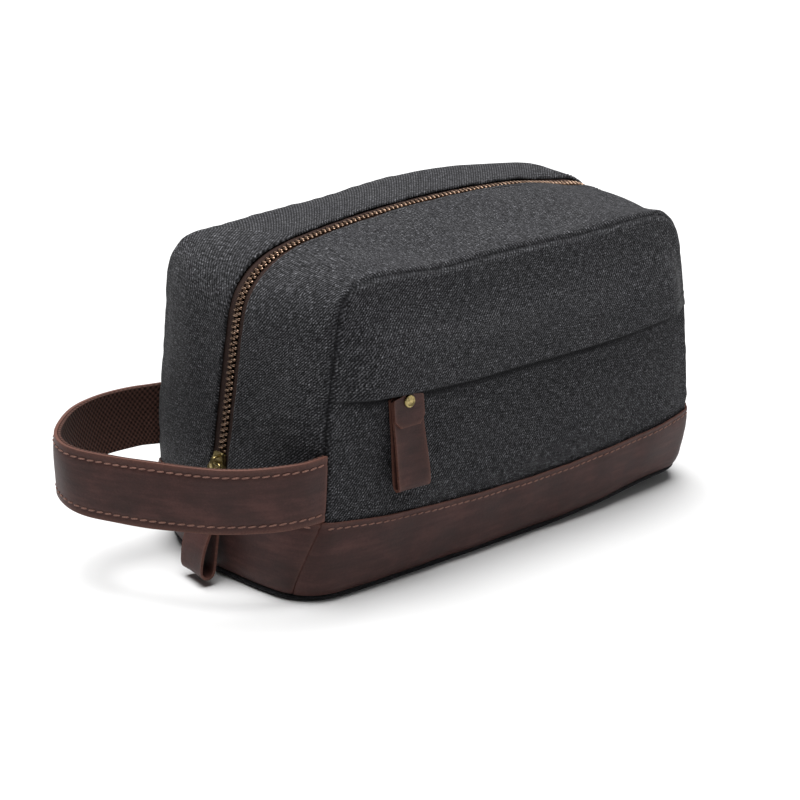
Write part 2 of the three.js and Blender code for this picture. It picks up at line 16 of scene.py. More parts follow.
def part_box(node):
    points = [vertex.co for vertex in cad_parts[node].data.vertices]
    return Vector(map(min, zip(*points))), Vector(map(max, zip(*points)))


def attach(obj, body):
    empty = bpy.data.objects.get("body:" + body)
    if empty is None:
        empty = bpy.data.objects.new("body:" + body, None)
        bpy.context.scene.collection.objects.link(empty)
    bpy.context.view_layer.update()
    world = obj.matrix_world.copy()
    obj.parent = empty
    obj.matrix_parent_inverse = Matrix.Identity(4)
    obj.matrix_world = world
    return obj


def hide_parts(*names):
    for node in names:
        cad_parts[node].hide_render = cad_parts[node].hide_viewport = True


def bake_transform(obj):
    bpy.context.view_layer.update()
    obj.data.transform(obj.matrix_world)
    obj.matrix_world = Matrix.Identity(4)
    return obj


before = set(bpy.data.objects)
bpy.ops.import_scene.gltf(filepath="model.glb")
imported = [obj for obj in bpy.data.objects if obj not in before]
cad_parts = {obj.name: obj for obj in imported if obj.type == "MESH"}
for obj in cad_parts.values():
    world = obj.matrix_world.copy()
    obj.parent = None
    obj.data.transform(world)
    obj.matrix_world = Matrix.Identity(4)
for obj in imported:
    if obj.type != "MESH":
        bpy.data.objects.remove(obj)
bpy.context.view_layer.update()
MM = 0.001


def box(node):
    """A CAD node's lowest and highest corners, in millimetres."""
    low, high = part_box(node)
    return np.array(low) / MM, np.array(high) / MM


# ---- shape of the bag: the same two outlines as the CAD walls ----
CANVAS = 1.4
LEATHER = 1.8
GUSSET_INSET = 1.8  # the gusset's canvas ends this far inside the panel seam
SEAM_Y = -box("gusset_front")[0][1] + GUSSET_INSET
PANEL_RIM = 0.3  # the panels reach this far over their top seam
PANEL_TOP = box("upper_front_panel")[1][2] - PANEL_RIM
PANEL_BULGE = 8
BASE_TOP = box("base_band_front")[1][2]
BASE_DIP = 7
BASE_FOOT = box("base_band_front")[0][2]
MOUTH_HALF = box("gusset_back")[0][1]
POCKET_TOP = box("pocket_front_panel")[1][2]
FLAP_EDGE = box("pocket_flap")[0][2]
FLAP_LIFT = 7.4
PULL_X = -85.8  # the pocket pull's middle

SEAM = np.array([
    [[-143, 0], [-138.3, 21.7], [-134.9, 43]],
    [[-134.9, 43], [-127.7, 88], [-123.5, 141]],
    [[-123.5, 141], [-121.5, 160.5], [-104, 162.5]],
    [[-104, 162.5], [0, 172], [106, 163]],
    [[106, 163], [126.2, 161.4], [130.5, 140]],
    [[130.5, 140], [138.5, 100], [141.5, 43]],
    [[141.5, 43], [142.8, 20], [147, 0]],
])
CROWN = np.array([
    [[-150, 0], [-150.2, 25], [-149.6, 46]],
    [[-149.6, 46], [-142.3, 90], [-135, 134]],
    [[-135, 134], [-130.3, 162], [-92, 169]],
    [[-92, 169], [5, 185], [112, 172.5]],
    [[112, 172.5], [139, 169.3], [146, 134]],
    [[146, 134], [154, 94], [154, 46]],
    [[154, 46], [154.6, 22], [153, 0]],
])
LAST = float(len(SEAM))
MIDDLE = np.array([0.0, 0.0, 80.0])  # a point well inside the bag


def smooth(t):
    t = np.clip(t, 0, 1)
    return t * t * (3 - 2 * t)


def mix(a, b, share):
    return a * (1 - share) + b * share


def lengths(path):
    """How far along a path each of its points is."""
    return np.concatenate([[0], np.cumsum(np.linalg.norm(np.diff(path, axis=0), axis=1))])


def read_at(at, run, values):
    """Values along a path, read at other distances from its start."""
    return np.stack([np.interp(at, run, values[:, k]) for k in range(values.shape[1])], -1)


def unit(vectors):
    return vectors / np.linalg.norm(vectors, axis=-1, keepdims=True)


def sideways(directions):
    """Level directions, to the right of others."""
    return np.stack([directions[:, 1], -directions[:, 0], 0 * directions[:, 0]], -1)


def along(outline, u):
    """The point of an outline at u, which counts its bends."""
    u = np.asarray(u, float)
    i = np.clip(np.floor(u).astype(int), 0, len(outline) - 1)
    t = (u - i)[..., None]
    start, control, end = (outline[i][..., k, :] for k in range(3))
    return start * (1 - t) ** 2 + 2 * control * t * (1 - t) + end * t * t


DENSE = np.linspace(0, LAST, 4001)
DENSE_SEAM = along(SEAM, DENSE)
SEAM_RUN = lengths(DENSE_SEAM)
CORNER_L, CORNER_R = 2.5, 4.5
on_left, on_top, on_right = DENSE <= 2.9, (DENSE >= CORNER_L) & (DENSE <= CORNER_R), DENSE >= 4.1


def left_seam(z):
    return np.interp(z, DENSE_SEAM[on_left, 1], DENSE_SEAM[on_left, 0])


def right_seam(z):
    return np.interp(z, DENSE_SEAM[on_right, 1][::-1], DENSE_SEAM[on_right, 0][::-1])


def top_seam(x):
    return np.interp(x, DENSE_SEAM[on_top, 0], DENSE_SEAM[on_top, 1])


def bulge(x, z):
    """How far the filled front or back stands out at a place on it."""
    level = np.minimum(z, 162)
    middle = (left_seam(level) + right_seam(level)) / 2
    half = (right_seam(level) - left_seam(level)) / 2
    across = 1 - np.minimum(1, np.abs((x - middle) / half)) ** 6
    return PANEL_BULGE * across * np.sin(np.pi * np.clip(z / PANEL_TOP, 0, 1) ** 0.55)


def seam_distance(x, z):
    """Distance of a place on the front or back from the seam round it."""
    level = np.minimum(z, 156)
    side = np.minimum(x - left_seam(level), right_seam(level) - x)
    return np.minimum(side, top_seam(x) - z)


def on_panel(side, x, z):
    return np.stack([x, side * (SEAM_Y + bulge(x, z)), z], -1)


def on_gusset(side, u, y):
    """A point of the gusset at u along it and y from the crown line."""
    rounding = 2.2 + 1.8 * smooth(1.6 - np.minimum(u, LAST - u))
    f = (1 - (np.abs(y) / SEAM_Y) ** rounding)[..., None]
    p = mix(along(SEAM, u), along(CROWN, u), f)
    return np.stack([p[..., 0], side * y, p[..., 1]], -1)


def normals(grid, away=MIDDLE):
    """Unit normals of a grid of points, on the side that faces away from a point."""
    n = np.cross(np.gradient(grid, axis=0), np.gradient(grid, axis=1))
    n /= np.linalg.norm(n, axis=-1, keepdims=True) + 1e-12
    return n if np.sum(n * (grid - away)) > 0 else -n


def lifted(grid, lift, away=MIDDLE):
    return grid + normals(grid, away) * np.asarray(lift)[..., None]


def steps(length, pitch, rim=(0, 0.3, 0.7, 1.2, 1.9, 2.8, 4.2)):
    """Places from 0 to length: a step of about pitch, and finer towards both ends."""
    rim = np.array(rim)
    count = max(2, round((length - 2 * rim[-1]) / pitch))
    inner = np.linspace(rim[-1], length - rim[-1], count + 1)[1:-1]
    return np.concatenate([rim, inner, length - rim[::-1]])


def ripple(s, seed, waves=(9, 14, 23)):
    """A smooth, uneven wave along a seam, between -1 and 1."""
    rng = random.Random(seed)
    return sum(np.sin(2 * np.pi * s / w + rng.uniform(0, 6.28)) for w in waves) / len(waves)


def swell(a, b, seed, size, count=7):
    """A smooth, uneven surface, about -1 to 1, whose dents are about size across."""
    rng = random.Random(seed)
    total = np.zeros(np.broadcast(a, b).shape)
    for _ in range(count):
        turn, scale = rng.uniform(0, np.pi), size * rng.uniform(0.7, 1.6)
        wave = (a * math.cos(turn) + b * math.sin(turn)) * 2 * np.pi / scale
        total = total + np.sin(wave + rng.uniform(0, 6.28))
    return total / count ** 0.5 / 1.4


def rolled(distance, radius):
    """How far an edge turns down, this far from it: a quarter round."""
    t = np.clip(1 - distance / radius, 0, 1)
    return -radius * (1 - np.sqrt(np.clip(1 - t * t, 0, 1)))


# ---- materials ----
class Paint:
    """A material, with short calls for its nodes."""

    def __init__(self, name, **shader):
        self.material = bpy.data.materials.new(name)
        self.material.use_nodes = True
        self.tree = self.material.node_tree
        self.shader = self.tree.nodes["Principled BSDF"]
        for socket, value in shader.items():
            self.shader.inputs[socket.replace("_", " ")].default_value = value

    def add(self, kind, *sources, **settings):
        node = self.tree.nodes.new("ShaderNode" + kind)
        for key, value in settings.items():
            if hasattr(node, key):
                setattr(node, key, value)
            else:
                node.inputs[key.replace("_", " ")].default_value = value
        for i, source in enumerate(sources):
            if isinstance(source, (int, float)):
                node.inputs[i].default_value = source
            elif source is not None:
                self.tree.links.new(source, node.inputs[i])
        return node

    def scaled(self, where, scale):
        mapping = self.add("Mapping", where)
        mapping.inputs["Scale"].default_value = scale
        return mapping.outputs[0]

    def uv(self, across, up):
        """Cloth coordinates in millimetres, scaled."""
        return self.scaled(self.add("UVMap", uv_map="cloth").outputs[0], (across, up, 1))

    def place(self, scale):
        """Object coordinates in millimetres, scaled."""
        return self.scaled(self.add("TexCoord").outputs["Object"], [1000 * scale] * 3)

    def math(self, operation, a, b=0.0):
        return self.add("Math", a, b, operation=operation).outputs[0]

    def weighted(self, *parts):
        """The sum of (value, share) pairs."""
        total = None
        for value, share in parts:
            part = self.math("MULTIPLY", value, share)
            total = part if total is None else self.math("ADD", total, part)
        return total

    def noise(self, where, detail=3.0, roughness=0.5):
        node = self.add("TexNoise", where, Scale=1.0, Detail=detail, Roughness=roughness)
        return node.outputs["Fac"]

    def attribute(self, name):
        return self.add("Attribute", attribute_name=name).outputs["Fac"]

    def ramp(self, value, *stops):
        node = self.add("ValToRGB", value)
        elements = node.color_ramp.elements
        while len(elements) < len(stops):
            elements.new(0.5)
        for element, (position, colour) in zip(elements, stops):
            element.position = position
            element.color = (*colour, 1) if len(colour) == 3 else colour
        return node.outputs["Color"]

    def mixed(self, factor, a, b, blend="MIX"):
        node = self.add("Mix", data_type="RGBA", blend_type=blend)
        for socket, source in ((0, factor), (6, a), (7, b)):
            if isinstance(source, (int, float)):
                node.inputs[socket].default_value = source
            elif isinstance(source, tuple):
                node.inputs[socket].default_value = (*source, 1)
            else:
                self.tree.links.new(source, node.inputs[socket])
        return node.outputs[2]

    def colour(self, source):
        self.tree.links.new(source, self.shader.inputs["Base Color"])

    def rough(self, source, low, high):
        node = self.add("MapRange", source, To_Min=low, To_Max=high)
        self.tree.links.new(node.outputs[0], self.shader.inputs["Roughness"])

    def bump(self, *layers):
        """Layers of (height, strength, distance in millimetres), one over the other."""
        normal = None
        for height, strength, distance in layers:
            node = self.add("Bump", Strength=strength, Distance=distance * MM)
            self.tree.links.new(height, node.inputs["Height"])
            if normal:
                self.tree.links.new(normal, node.inputs["Normal"])
            normal = node.outputs[0]
        self.tree.links.new(normal, self.shader.inputs["Normal"])


def twill(paint, pitch, rise):
    """The diagonal ribs of a twill whose yarns are about pitch apart."""
    split = paint.add("SeparateXYZ", paint.uv(1 / pitch, 1 / pitch))
    slope = paint.math("ADD", paint.math("MULTIPLY", split.outputs[0], rise), split.outputs[1])
    rib = paint.math("SINE", paint.math("MULTIPLY", slope, 2 * math.pi / 3))
    ribs = paint.math("MULTIPLY_ADD", rib, 0.34)
    ribs.node.inputs[2].default_value = 0.5
    return ribs


def canvas_paint(name, rise):
    """Charcoal canvas: dark and light yarns twisted together, in a twill weave."""
    paint = Paint(name, Roughness=0.9, Sheen_Weight=0.05, Sheen_Roughness=0.5,
                  Specular_IOR_Level=0.12)
    ribs = twill(paint, 0.62, rise)
    warp = paint.noise(paint.uv(1.3, 0.22), 2.0)
    weft = paint.noise(paint.uv(0.2, 1.4), 2.0)
    flecks = paint.noise(paint.uv(1.25, 1.25), 1.0)
    heather = paint.math("MULTIPLY", paint.math("ADD", warp, weft), 0.5)
    base = paint.ramp(
        paint.weighted((ribs, 0.15), (heather, 0.50), (flecks, 0.35)),
        (0.41, (0.0035, 0.0035, 0.004)),
        (0.50, (0.023, 0.023, 0.025)),
        (0.58, (0.076, 0.076, 0.081)),
        (0.67, (0.240, 0.240, 0.255)),
    )
    patch = paint.noise(paint.uv(0.03, 0.03), 3.0)
    tint = paint.ramp(patch, (0.3, (0.86, 0.86, 0.88)), (0.7, (1.0, 1.0, 1.0)))
    cloth = paint.mixed(1.0, base, tint, "MULTIPLY")
    # The "edge" attribute mixes the cloth towards near-black: painted shade in the seam grooves, a
    # painted shadow under the flap, painted shade on the flap's hem, and a darker rolled edge on
    # the underside.
    paint.colour(paint.mixed(paint.attribute("edge"), cloth, (0.004, 0.004, 0.005)))
    paint.bump((ribs, 0.55, 0.25), (heather, 0.3, 0.2))
    return paint.material


def leather_paint(name):
    """Oiled brown leather: cloudy colour, fine grain, and rubbed, redder edges."""
    paint = Paint(name, Specular_IOR_Level=0.25)
    cloud = paint.noise(paint.uv(0.045, 0.06), 5.0, 0.6)
    streak = paint.noise(paint.uv(0.035, 0.3), 4.0, 0.6)
    speck = paint.noise(paint.uv(0.9, 0.9), 3.0, 0.6)
    base = paint.ramp(
        paint.weighted((cloud, 0.55), (streak, 0.3), (speck, 0.15)),
        (0.28, (0.013, 0.0046, 0.0037)),
        (0.50, (0.041, 0.0158, 0.0136)),
        (0.72, (0.090, 0.037, 0.032)),
    )
    worn = paint.math("MULTIPLY", paint.attribute("edge"), paint.math("MULTIPLY", speck, 1.3))
    paint.colour(paint.mixed(worn, base, (0.120, 0.050, 0.036)))
    paint.rough(cloud, 0.42, 0.68)
    grain = paint.add("TexVoronoi", paint.uv(0.95, 0.95), Scale=1.0).outputs["Distance"]
    creases = paint.noise(paint.uv(0.25, 0.45), 6.0, 0.65)
    paint.bump((creases, 0.35, 0.5), (grain, 0.12, 0.3))
    return paint.material


def cloth_paint(name, dark, light, pitch, ribbed=(1, 1), roughness=0.9):
    """A plain woven cloth, lining, tape or webbing, in two close shades."""
    paint = Paint(name, Roughness=roughness, Sheen_Weight=0.05, Specular_IOR_Level=0.15)
    split = paint.add("SeparateXYZ", paint.uv(ribbed[0] / pitch, ribbed[1] / pitch))
    turn = 2 * math.pi
    waves = [paint.math("SINE", paint.math("MULTIPLY", split.outputs[i], turn)) for i in (0, 1)]
    yarns = paint.math("ADD", paint.math("MULTIPLY", paint.math("MULTIPLY", *waves), 0.5), 0.5)
    fuzz = paint.noise(paint.uv(1.2, 1.2), 3.0)
    shade = paint.weighted((yarns, 0.6), (fuzz, 0.4))
    paint.colour(paint.ramp(shade, (0.2, dark), (0.8, light)))
    paint.bump((yarns, 0.6, pitch * 0.35), (fuzz, 0.2, 0.15))
    return paint.material


def metal_paint(name, dark, light, roughness):
    """Antiqued metal: darker in patches and worn bright between them."""
    paint = Paint(name, Metallic=1.0)
    patina = paint.noise(paint.place(0.5), 5.0, 0.65)
    paint.colour(paint.ramp(patina, (0.35, dark), (0.62, light)))
    paint.rough(patina, roughness + 0.14, roughness - 0.06)
    scratch = paint.noise(paint.place(3), 2.0)
    paint.bump((scratch, 0.08, 0.1))
    return paint.material


def thread_paint(name, dark, light):
    paint = Paint(name, Roughness=0.7, Sheen_Weight=0.05, Specular_IOR_Level=0.25)
    strands = paint.noise(paint.place(2.5), 2.0)
    paint.colour(paint.ramp(strands, (0.3, dark), (0.7, light)))
    paint.bump((strands, 0.4, 0.15))
    return paint.material


CANVAS_FRONT = canvas_paint("canvas_front", -1.0)
CANVAS_SIDE = canvas_paint("canvas_gusset", 1.0)
LEATHER_PAINT = leather_paint("brown_leather")
LINING_PAINT = cloth_paint("lining", (0.05, 0.04, 0.03), (0.11, 0.085, 0.06), 0.4)
TAPE_PAINT = cloth_paint("zip_tape", (0.012, 0.006, 0.0045), (0.042, 0.020, 0.015), 0.7, (1, 0.6))
WEBBING_PAINT = cloth_paint("webbing", (0.010, 0.004, 0.003), (0.115, 0.055, 0.042), 2.6, (1, 0.8))
BRASS_PAINT = metal_paint("antique_brass", (0.11, 0.085, 0.035), (0.48, 0.38, 0.17), 0.32)
COPPER_PAINT = metal_paint("antique_copper", (0.06, 0.035, 0.022), (0.34, 0.23, 0.165), 0.32)
THREAD_PAINT = thread_paint("brown_thread", (0.12, 0.058, 0.044), (0.28, 0.145, 0.11))
DARK_THREAD = thread_paint("charcoal_thread", (0.012, 0.012, 0.014), (0.04, 0.04, 0.044))
BOARD_PAINT = cloth_paint("board", (0.10, 0.09, 0.08), (0.14, 0.13, 0.115), 1.2)


# ---- mesh helpers ----
def settled(points):
    """The bag as it stands: its soft top, corners and floor, eased off the CAD's even walls."""
    moved = np.array(points, float)
    x, y, z = moved.T.copy()
    left, right = smooth((-x - 90) / 50), smooth((x - 60) / 50)
    front, back = smooth((-y - 5) / 45), smooth((y - 5) / 45)
    high, low = smooth((z - 115) / 32), smooth((45 - z) / 45)
    swing = 3.5 * np.exp(-((z - 95) / 32) ** 2) * smooth((-y - 20) / 40) * smooth((-x - 100) / 30)
    moved[:, 0] -= 4.5 * left * back * smooth((z - 40) / 40) + swing
    moved[:, 0] += low * (9 * left * smooth((y - 10) / 50) - 4 * smooth((x - 100) / 50))
    moved[:, 1] += 2.5 * low * right * front
    sag = 6.3 * smooth((x + 105) / 60) * smooth((125 - x) / 90) * front
    slope = 5 * right * smooth((20 - y) / 35) * smooth((y + 68) / 22)
    lifted_back = 4.5 * back * (left + smooth((x + 35) / 70))
    rise = np.clip(1 - z / 60, 0, 1) ** 2 * (6 * smooth((x - 10) / 130) + 2.5 * left * back)
    moved[:, 2] += high * (lifted_back - sag - slope) + rise
    return moved


def mesh_piece(name, verts, faces, material, uv=None, edge=None):
    """A smooth-shaded mesh object from points in millimetres."""
    mesh = bpy.data.meshes.new(name)
    mesh.from_pydata((settled(verts) * MM).tolist(), [], [tuple(f) for f in faces])
    mesh.materials.append(material)
    layer = mesh.uv_layers.new(name="cloth")
    if uv is not None:
        corners = np.zeros(len(mesh.loops), int)
        mesh.loops.foreach_get("vertex_index", corners)
        layer.data.foreach_set("uv", np.asarray(uv, float)[corners].ravel())
    # The "edge" attribute darkens canvas pieces (painted shade in seams and under the flap, and
    # the underside's darker rolled edge) and lightens leather pieces with edge wear.
    attribute = mesh.attributes.new("edge", "FLOAT", "POINT")
    if edge is not None:
        attribute.data.foreach_set("value", np.asarray(edge, np.float32).ravel())
    mesh.shade_smooth()
    piece = bpy.data.objects.new(name, mesh)
    bpy.context.scene.collection.objects.link(piece)
    return piece


def thickened(piece, thickness, offset=-1):
    solid = piece.modifiers.new("thickness", "SOLIDIFY")
    solid.thickness, solid.offset = thickness * MM, offset
    return solid


def bevelled(piece, width, angle=35, segments=3, harden=True):
    bevel = piece.modifiers.new("bevel", "BEVEL")
    bevel.width, bevel.segments = width * MM, segments
    bevel.limit_method, bevel.angle_limit = "ANGLE", math.radians(angle)
    bevel.harden_normals = harden
    return piece


def tidy_normals(piece, close_floor=False):
    """Turns the faces outwards; first closes the open ring of edges on the floor, if asked."""
    made = bmesh.new()
    made.from_mesh(piece.data)
    if close_floor:
        rim = [e for e in made.edges if e.is_boundary and e.verts[0].co.z < MM]
        bmesh.ops.contextual_create(made, geom=rim)
    bmesh.ops.recalc_face_normals(made, faces=made.faces)
    made.to_mesh(piece.data)
    made.free()
    return piece


def finished(piece, body, nodes=()):
    """Applies a piece's modifiers, puts it on its body and hides the nodes it stands for."""
    if piece.modifiers:
        view = bpy.context.evaluated_depsgraph_get()
        piece.data = bpy.data.meshes.new_from_object(piece.evaluated_get(view))
        piece.modifiers.clear()
    if body:
        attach(piece, body)
    if nodes:
        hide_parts(*nodes)
    return piece


def grid_faces(n, m, closed=False):
    i, j = np.meshgrid(np.arange(n if closed else n - 1), np.arange(m - 1), indexing="ij")
    a, b = i * m + j, ((i + 1) % n) * m + j
    return np.stack([a, b, b + 1, a + 1], -1).reshape(-1, 4)


def sheet(name, grid, uv, material, thickness, edge=None, away=MIDDLE, soft=0.35):
    """A sheet whose outer face is a grid of points, with softly rounded edges."""
    n, m = grid.shape[:2]
    faces = grid_faces(n, m)
    a, b, c = (grid.reshape(-1, 3)[faces[:, k]] for k in (0, 1, 2))
    if np.sum(np.cross(b - a, c - a) * (a - away)) < 0:
        faces = faces[:, ::-1]
    piece = mesh_piece(name, grid.reshape(-1, 3), faces, material, uv.reshape(-1, 2),
                       None if edge is None else edge.reshape(-1))
    thickened(piece, thickness).use_quality_normals = True
    return bevelled(piece, soft, 55, 2, harden=False)


def placed(shape, place):
    points = np.c_[np.asarray(shape[0], float), np.ones(len(shape[0]))]
    return (points @ np.asarray(place).T)[:, :3], shape[1]


def joined_copies(name, template, places, material):
    """One mesh that holds a copy of a template (points, faces) at each 4x4 place."""
    points, faces = template
    verts = np.concatenate([placed(template, place)[0] for place in places])
    every = [tuple(k + i * len(points) for k in f) for i in range(len(places)) for f in faces]
    return mesh_piece(name, verts, every, material)


def capsule(length, radius, rings=5, sides=8):
    """A stitch lying along x: a thread with round ends."""
    points, faces = [[-length / 2, 0, 0]], []
    for i in range(1, rings + 1):
        t = math.pi * i / (rings + 1)
        x, r = -math.cos(t) * length / 2, radius * math.sin(t) ** 0.6
        around = np.linspace(0, 2 * math.pi, sides, False)
        points += [[x, r * math.cos(a), r * math.sin(a)] for a in around]
    points.append([length / 2, 0, 0])
    for k in range(sides):
        faces.append((0, 1 + (k + 1) % sides, 1 + k))
        last = 1 + (rings - 1) * sides
        faces.append((len(points) - 1, last + k, last + (k + 1) % sides))
        for i in range(rings - 1):
            a, b = 1 + i * sides + k, 1 + i * sides + (k + 1) % sides
            faces.append((a, b, b + sides, a + sides))
    return points, faces


def basis(origin, x, z):
    """A 4x4 place with its x axis along x and its z axis near z."""
    x = np.asarray(x, float) / np.linalg.norm(x)
    y = np.cross(z, x)
    y /= np.linalg.norm(y)
    m = np.eye(4)
    m[:3, 0], m[:3, 1], m[:3, 2], m[:3, 3] = x, y, np.cross(x, y), origin
    return m


def resampled(path, normal, pitch):
    """Points a pitch apart along a path, with their directions and normals."""
    run = lengths(path)
    count = max(2, int(run[-1] / pitch))
    at = (np.arange(count) + 0.5) * run[-1] / count
    point = read_at(at, run, path)
    return point, np.gradient(point, axis=0), read_at(at, run, normal)


def eased_line(line, pitch, more, passes):
    """A line resampled at a pitch, with its corners eased, and the distances along it."""
    run = lengths(line)
    at = np.linspace(0, run[-1], int(run[-1] / pitch) + more)
    line = read_at(at, run, line)
    for _ in range(passes):
        line[1:-1] = (line[:-2] + 2 * line[1:-1] + line[2:]) / 4
    return line, at


def stitching(name, lines, body, material=THREAD_PAINT, pitch=3.1, length=2.5, radius=0.42):
    """Stitches along lines of (path, normals), each one leaning a little."""
    places = []
    for path, normal in lines:
        point, direction, up = resampled(path, normal, pitch)
        for p, d, n in zip(point, direction, up):
            lean = np.cross(n, d)
            d = d / np.linalg.norm(d) + 0.13 * lean / np.linalg.norm(lean)
            places.append(basis(p + n / np.linalg.norm(n) * radius * 0.25, d, n))
    piece = joined_copies(name, capsule(length, radius), places, material)
    return finished(piece, body) if body else piece


# ---- canvas walls ----
def base_edge(a):
    """Top edge of the leather base across the front or back, a from 0 to 1."""
    return BASE_TOP - BASE_DIP * np.sin(np.pi * a)


def stand_off(x, z):
    """How far the upper front stands off to cover the pocket zip."""
    return FLAP_LIFT * smooth((PANEL_TOP - 12 - z) / 38) * smooth(seam_distance(x, z) / 22)


def over_leather(z, x):
    """The canvas fills out again above the leather that is sewn over it."""
    a = np.clip((x - left_seam(BASE_TOP)) / (right_seam(BASE_TOP) - left_seam(BASE_TOP)), 0, 1)
    return 0.9 * smooth((z - base_edge(a)) / 9)


def seam_turn(d):
    """A seam's turned edge: a narrow groove, and the filled cloth swelling beside it."""
    swell_beside = 1.9 * smooth(d / 3.4) * np.exp(-np.maximum(d - 3.4, 0) / 8)
    return rolled(d, 2.4) - 1.0 + swell_beside + smooth((d - 3.4) / 12)


def seam_shade(d):
    """How much painted shade darkens the cloth in a seam's groove."""
    return 0.95 * np.exp(-(np.maximum(d, 0) / 1.1) ** 2)


def cloth_lift(x, z, seed):
    """Filled canvas: seams turned in, puckers beside them and soft dents."""
    d = seam_distance(x, z)
    run = np.where(z > 150, x, z * 1.0)
    pucker = ripple(run, seed) * np.exp(-np.maximum(d, 0) / 8) * 0.45 * smooth(d / 2.5)
    dents = 0.5 * swell(x, z * 1.4, seed + 5, 70) + 0.16 * swell(x, z * 1.6, seed + 9, 26)
    return seam_turn(d) + pucker + dents * smooth(d / 12)


def level_grid(low, high, pitch=2.6):
    """Places between two level edges and the side seams, fine next to the seams."""
    width = right_seam(60) - left_seam(60)
    a = steps(width, pitch) / width
    rows = steps(float(np.max(high(a)) - np.min(low(a))), pitch)
    b = rows / rows[-1]
    a, b = np.meshgrid(a, b, indexing="ij")
    z = mix(low(a), high(a), b)
    return mix(left_seam(z), right_seam(z), a), z


def crest_grid(low, pitch=2.6):
    """Places from a level lower edge (a function of a) up to the top seam."""
    width = right_seam(60) - left_seam(60)
    a = steps(width, pitch) / width
    height = PANEL_TOP - float(np.min(low(a)))
    b = steps(height, pitch) / height
    a, b = np.meshgrid(a, b, indexing="ij")
    corner_l, corner_r = along(SEAM, CORNER_L), along(SEAM, CORNER_R)
    foot = low(a)
    z_l, z_r = mix(foot, corner_l[1], b), mix(foot, corner_r[1], b)
    rise = top_seam(mix(corner_l[0], corner_r[0], a)) - mix(corner_l[1], corner_r[1], a)
    return mix(left_seam(z_l), right_seam(z_r), a), mix(z_l, z_r, a) + b * rise


def flat_uv(x, z):
    return np.stack([x, z], -1)


def flap_edge(a):
    """The flap's lower edge, a from 0 to 1 along it: it sags, and rises to both seams."""
    left, right = np.clip((0.32 - a) / 0.32, 0, 1), np.clip((a - 0.6) / 0.4, 0, 1)
    return FLAP_EDGE - 0.3 + 4.0 * left ** 1.3 + 5.5 * right ** 2


def pocket_edge(a):
    return np.maximum(POCKET_TOP, flap_edge(a) + 1.3)


def pocket_front():
    """The lower front, from behind the leather up to the pocket zip."""
    x, z = level_grid(lambda a: base_edge(a) - 7, pocket_edge)
    lift = cloth_lift(x, z, 11) + over_leather(z, x) + rolled(z[:, -1:] - z, 1.2)
    lift = lift - 0.9 * smooth((z - 46) / 12) * smooth(seam_distance(x, z) / 12)
    behind_pull = np.exp(-((x - PULL_X) / 20) ** 2) * smooth((z - 43) / 6) * smooth((90 - z) / 20)
    lift = lift - 2.4 * behind_pull
    grid = lifted(on_panel(-1, x, z), lift)
    edge = flap_edge((x - x[:1]) / (x[-1:] - x[:1]))
    # Painted shadow: the pocket front is darkened just below the flap's edge, where the flap
    # shades it; painted shade also darkens the seam grooves.
    painted_flap_shadow = 0.9 * smooth((z - edge + 2.6 + 0.6 * stand_off(x, edge)) / 2.6)
    shade = np.maximum(seam_shade(seam_distance(x, z)), painted_flap_shadow)
    piece = sheet("canvas_pocket_front", grid, flat_uv(x, z), CANVAS_FRONT, CANVAS, shade)
    finished(piece, "bag", ["pocket_front_panel"])


def upper_front():
    """The upper front and the flap it ends in, folded under along its lower edge."""
    x, z = crest_grid(flap_edge)
    above = z - z[:, :1]
    fold = 0.85
    crease_at = 140 + 2.5 * np.sin(x / 40)
    inside = smooth(seam_distance(x, z) / 25)
    crease = -0.55 * np.exp(-((z - crease_at) / 1.6) ** 2) * inside
    crease = crease + 0.3 * np.exp(-((z - crease_at + 4) / 3) ** 2) * inside
    hang = 0.5 * swell(x, z * 0, 33, 55) * smooth(1 - above / 25)
    lift = cloth_lift(x, z, 21) + stand_off(x, z) + 0.9 + crease + hang
    lift = lift + 0.9 * np.exp(-((x - PULL_X) / 26) ** 2) * smooth((122 - z) / 14)
    grid = lifted(on_panel(-1, x, z), lift)
    outward = normals(grid)
    hem = []
    for angle in np.linspace(0, math.pi, 8)[1:]:
        p = grid[:, 0] - outward[:, 0] * fold * (1 - math.cos(angle))
        hem.append(p - np.array([0, 0, fold * math.sin(angle)]))
    back = grid[:, 0] - outward[:, 0] * 2 * fold
    hem += [back + np.array([0, 0, rise]) for rise in (2.5, 5, 7.5)]
    hem = np.stack(hem[::-1], 1)
    whole = np.concatenate([hem, grid], 1)
    drop = -np.concatenate([[0], np.cumsum([2.5, 2.5, 2.5] + [fold * math.pi / 7] * 7)])[::-1]
    v = np.concatenate([z[:, :1] + drop[None, :-1], z], 1)
    u = np.concatenate([np.repeat(x[:, :1], hem.shape[1], 1), x], 1)
    # Painted shade: the whole hem, round its fold and inside it, is darkened 0.8 towards
    # near-black; painted shade also darkens the seam grooves.
    shade = np.concatenate([0 * hem[..., 0] + 0.8, seam_shade(seam_distance(x, z))], 1)
    piece = sheet("canvas_upper_front", whole, np.stack([u, v], -1), CANVAS_FRONT, 0.9, shade)
    finished(piece, None, ["upper_front_panel", "pocket_flap"])
    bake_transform(piece)


def back_panel():
    x, z = crest_grid(lambda a: base_edge(a) - 7)
    grid = lifted(on_panel(1, x, z), cloth_lift(x, z, 31) + over_leather(z, x))
    # Painted shade darkens the seam grooves.
    shade = seam_shade(seam_distance(x, z))
    piece = sheet("canvas_back", grid, flat_uv(x, z), CANVAS_FRONT, CANVAS, shade)
    finished(piece, "bag", ["back_panel"])


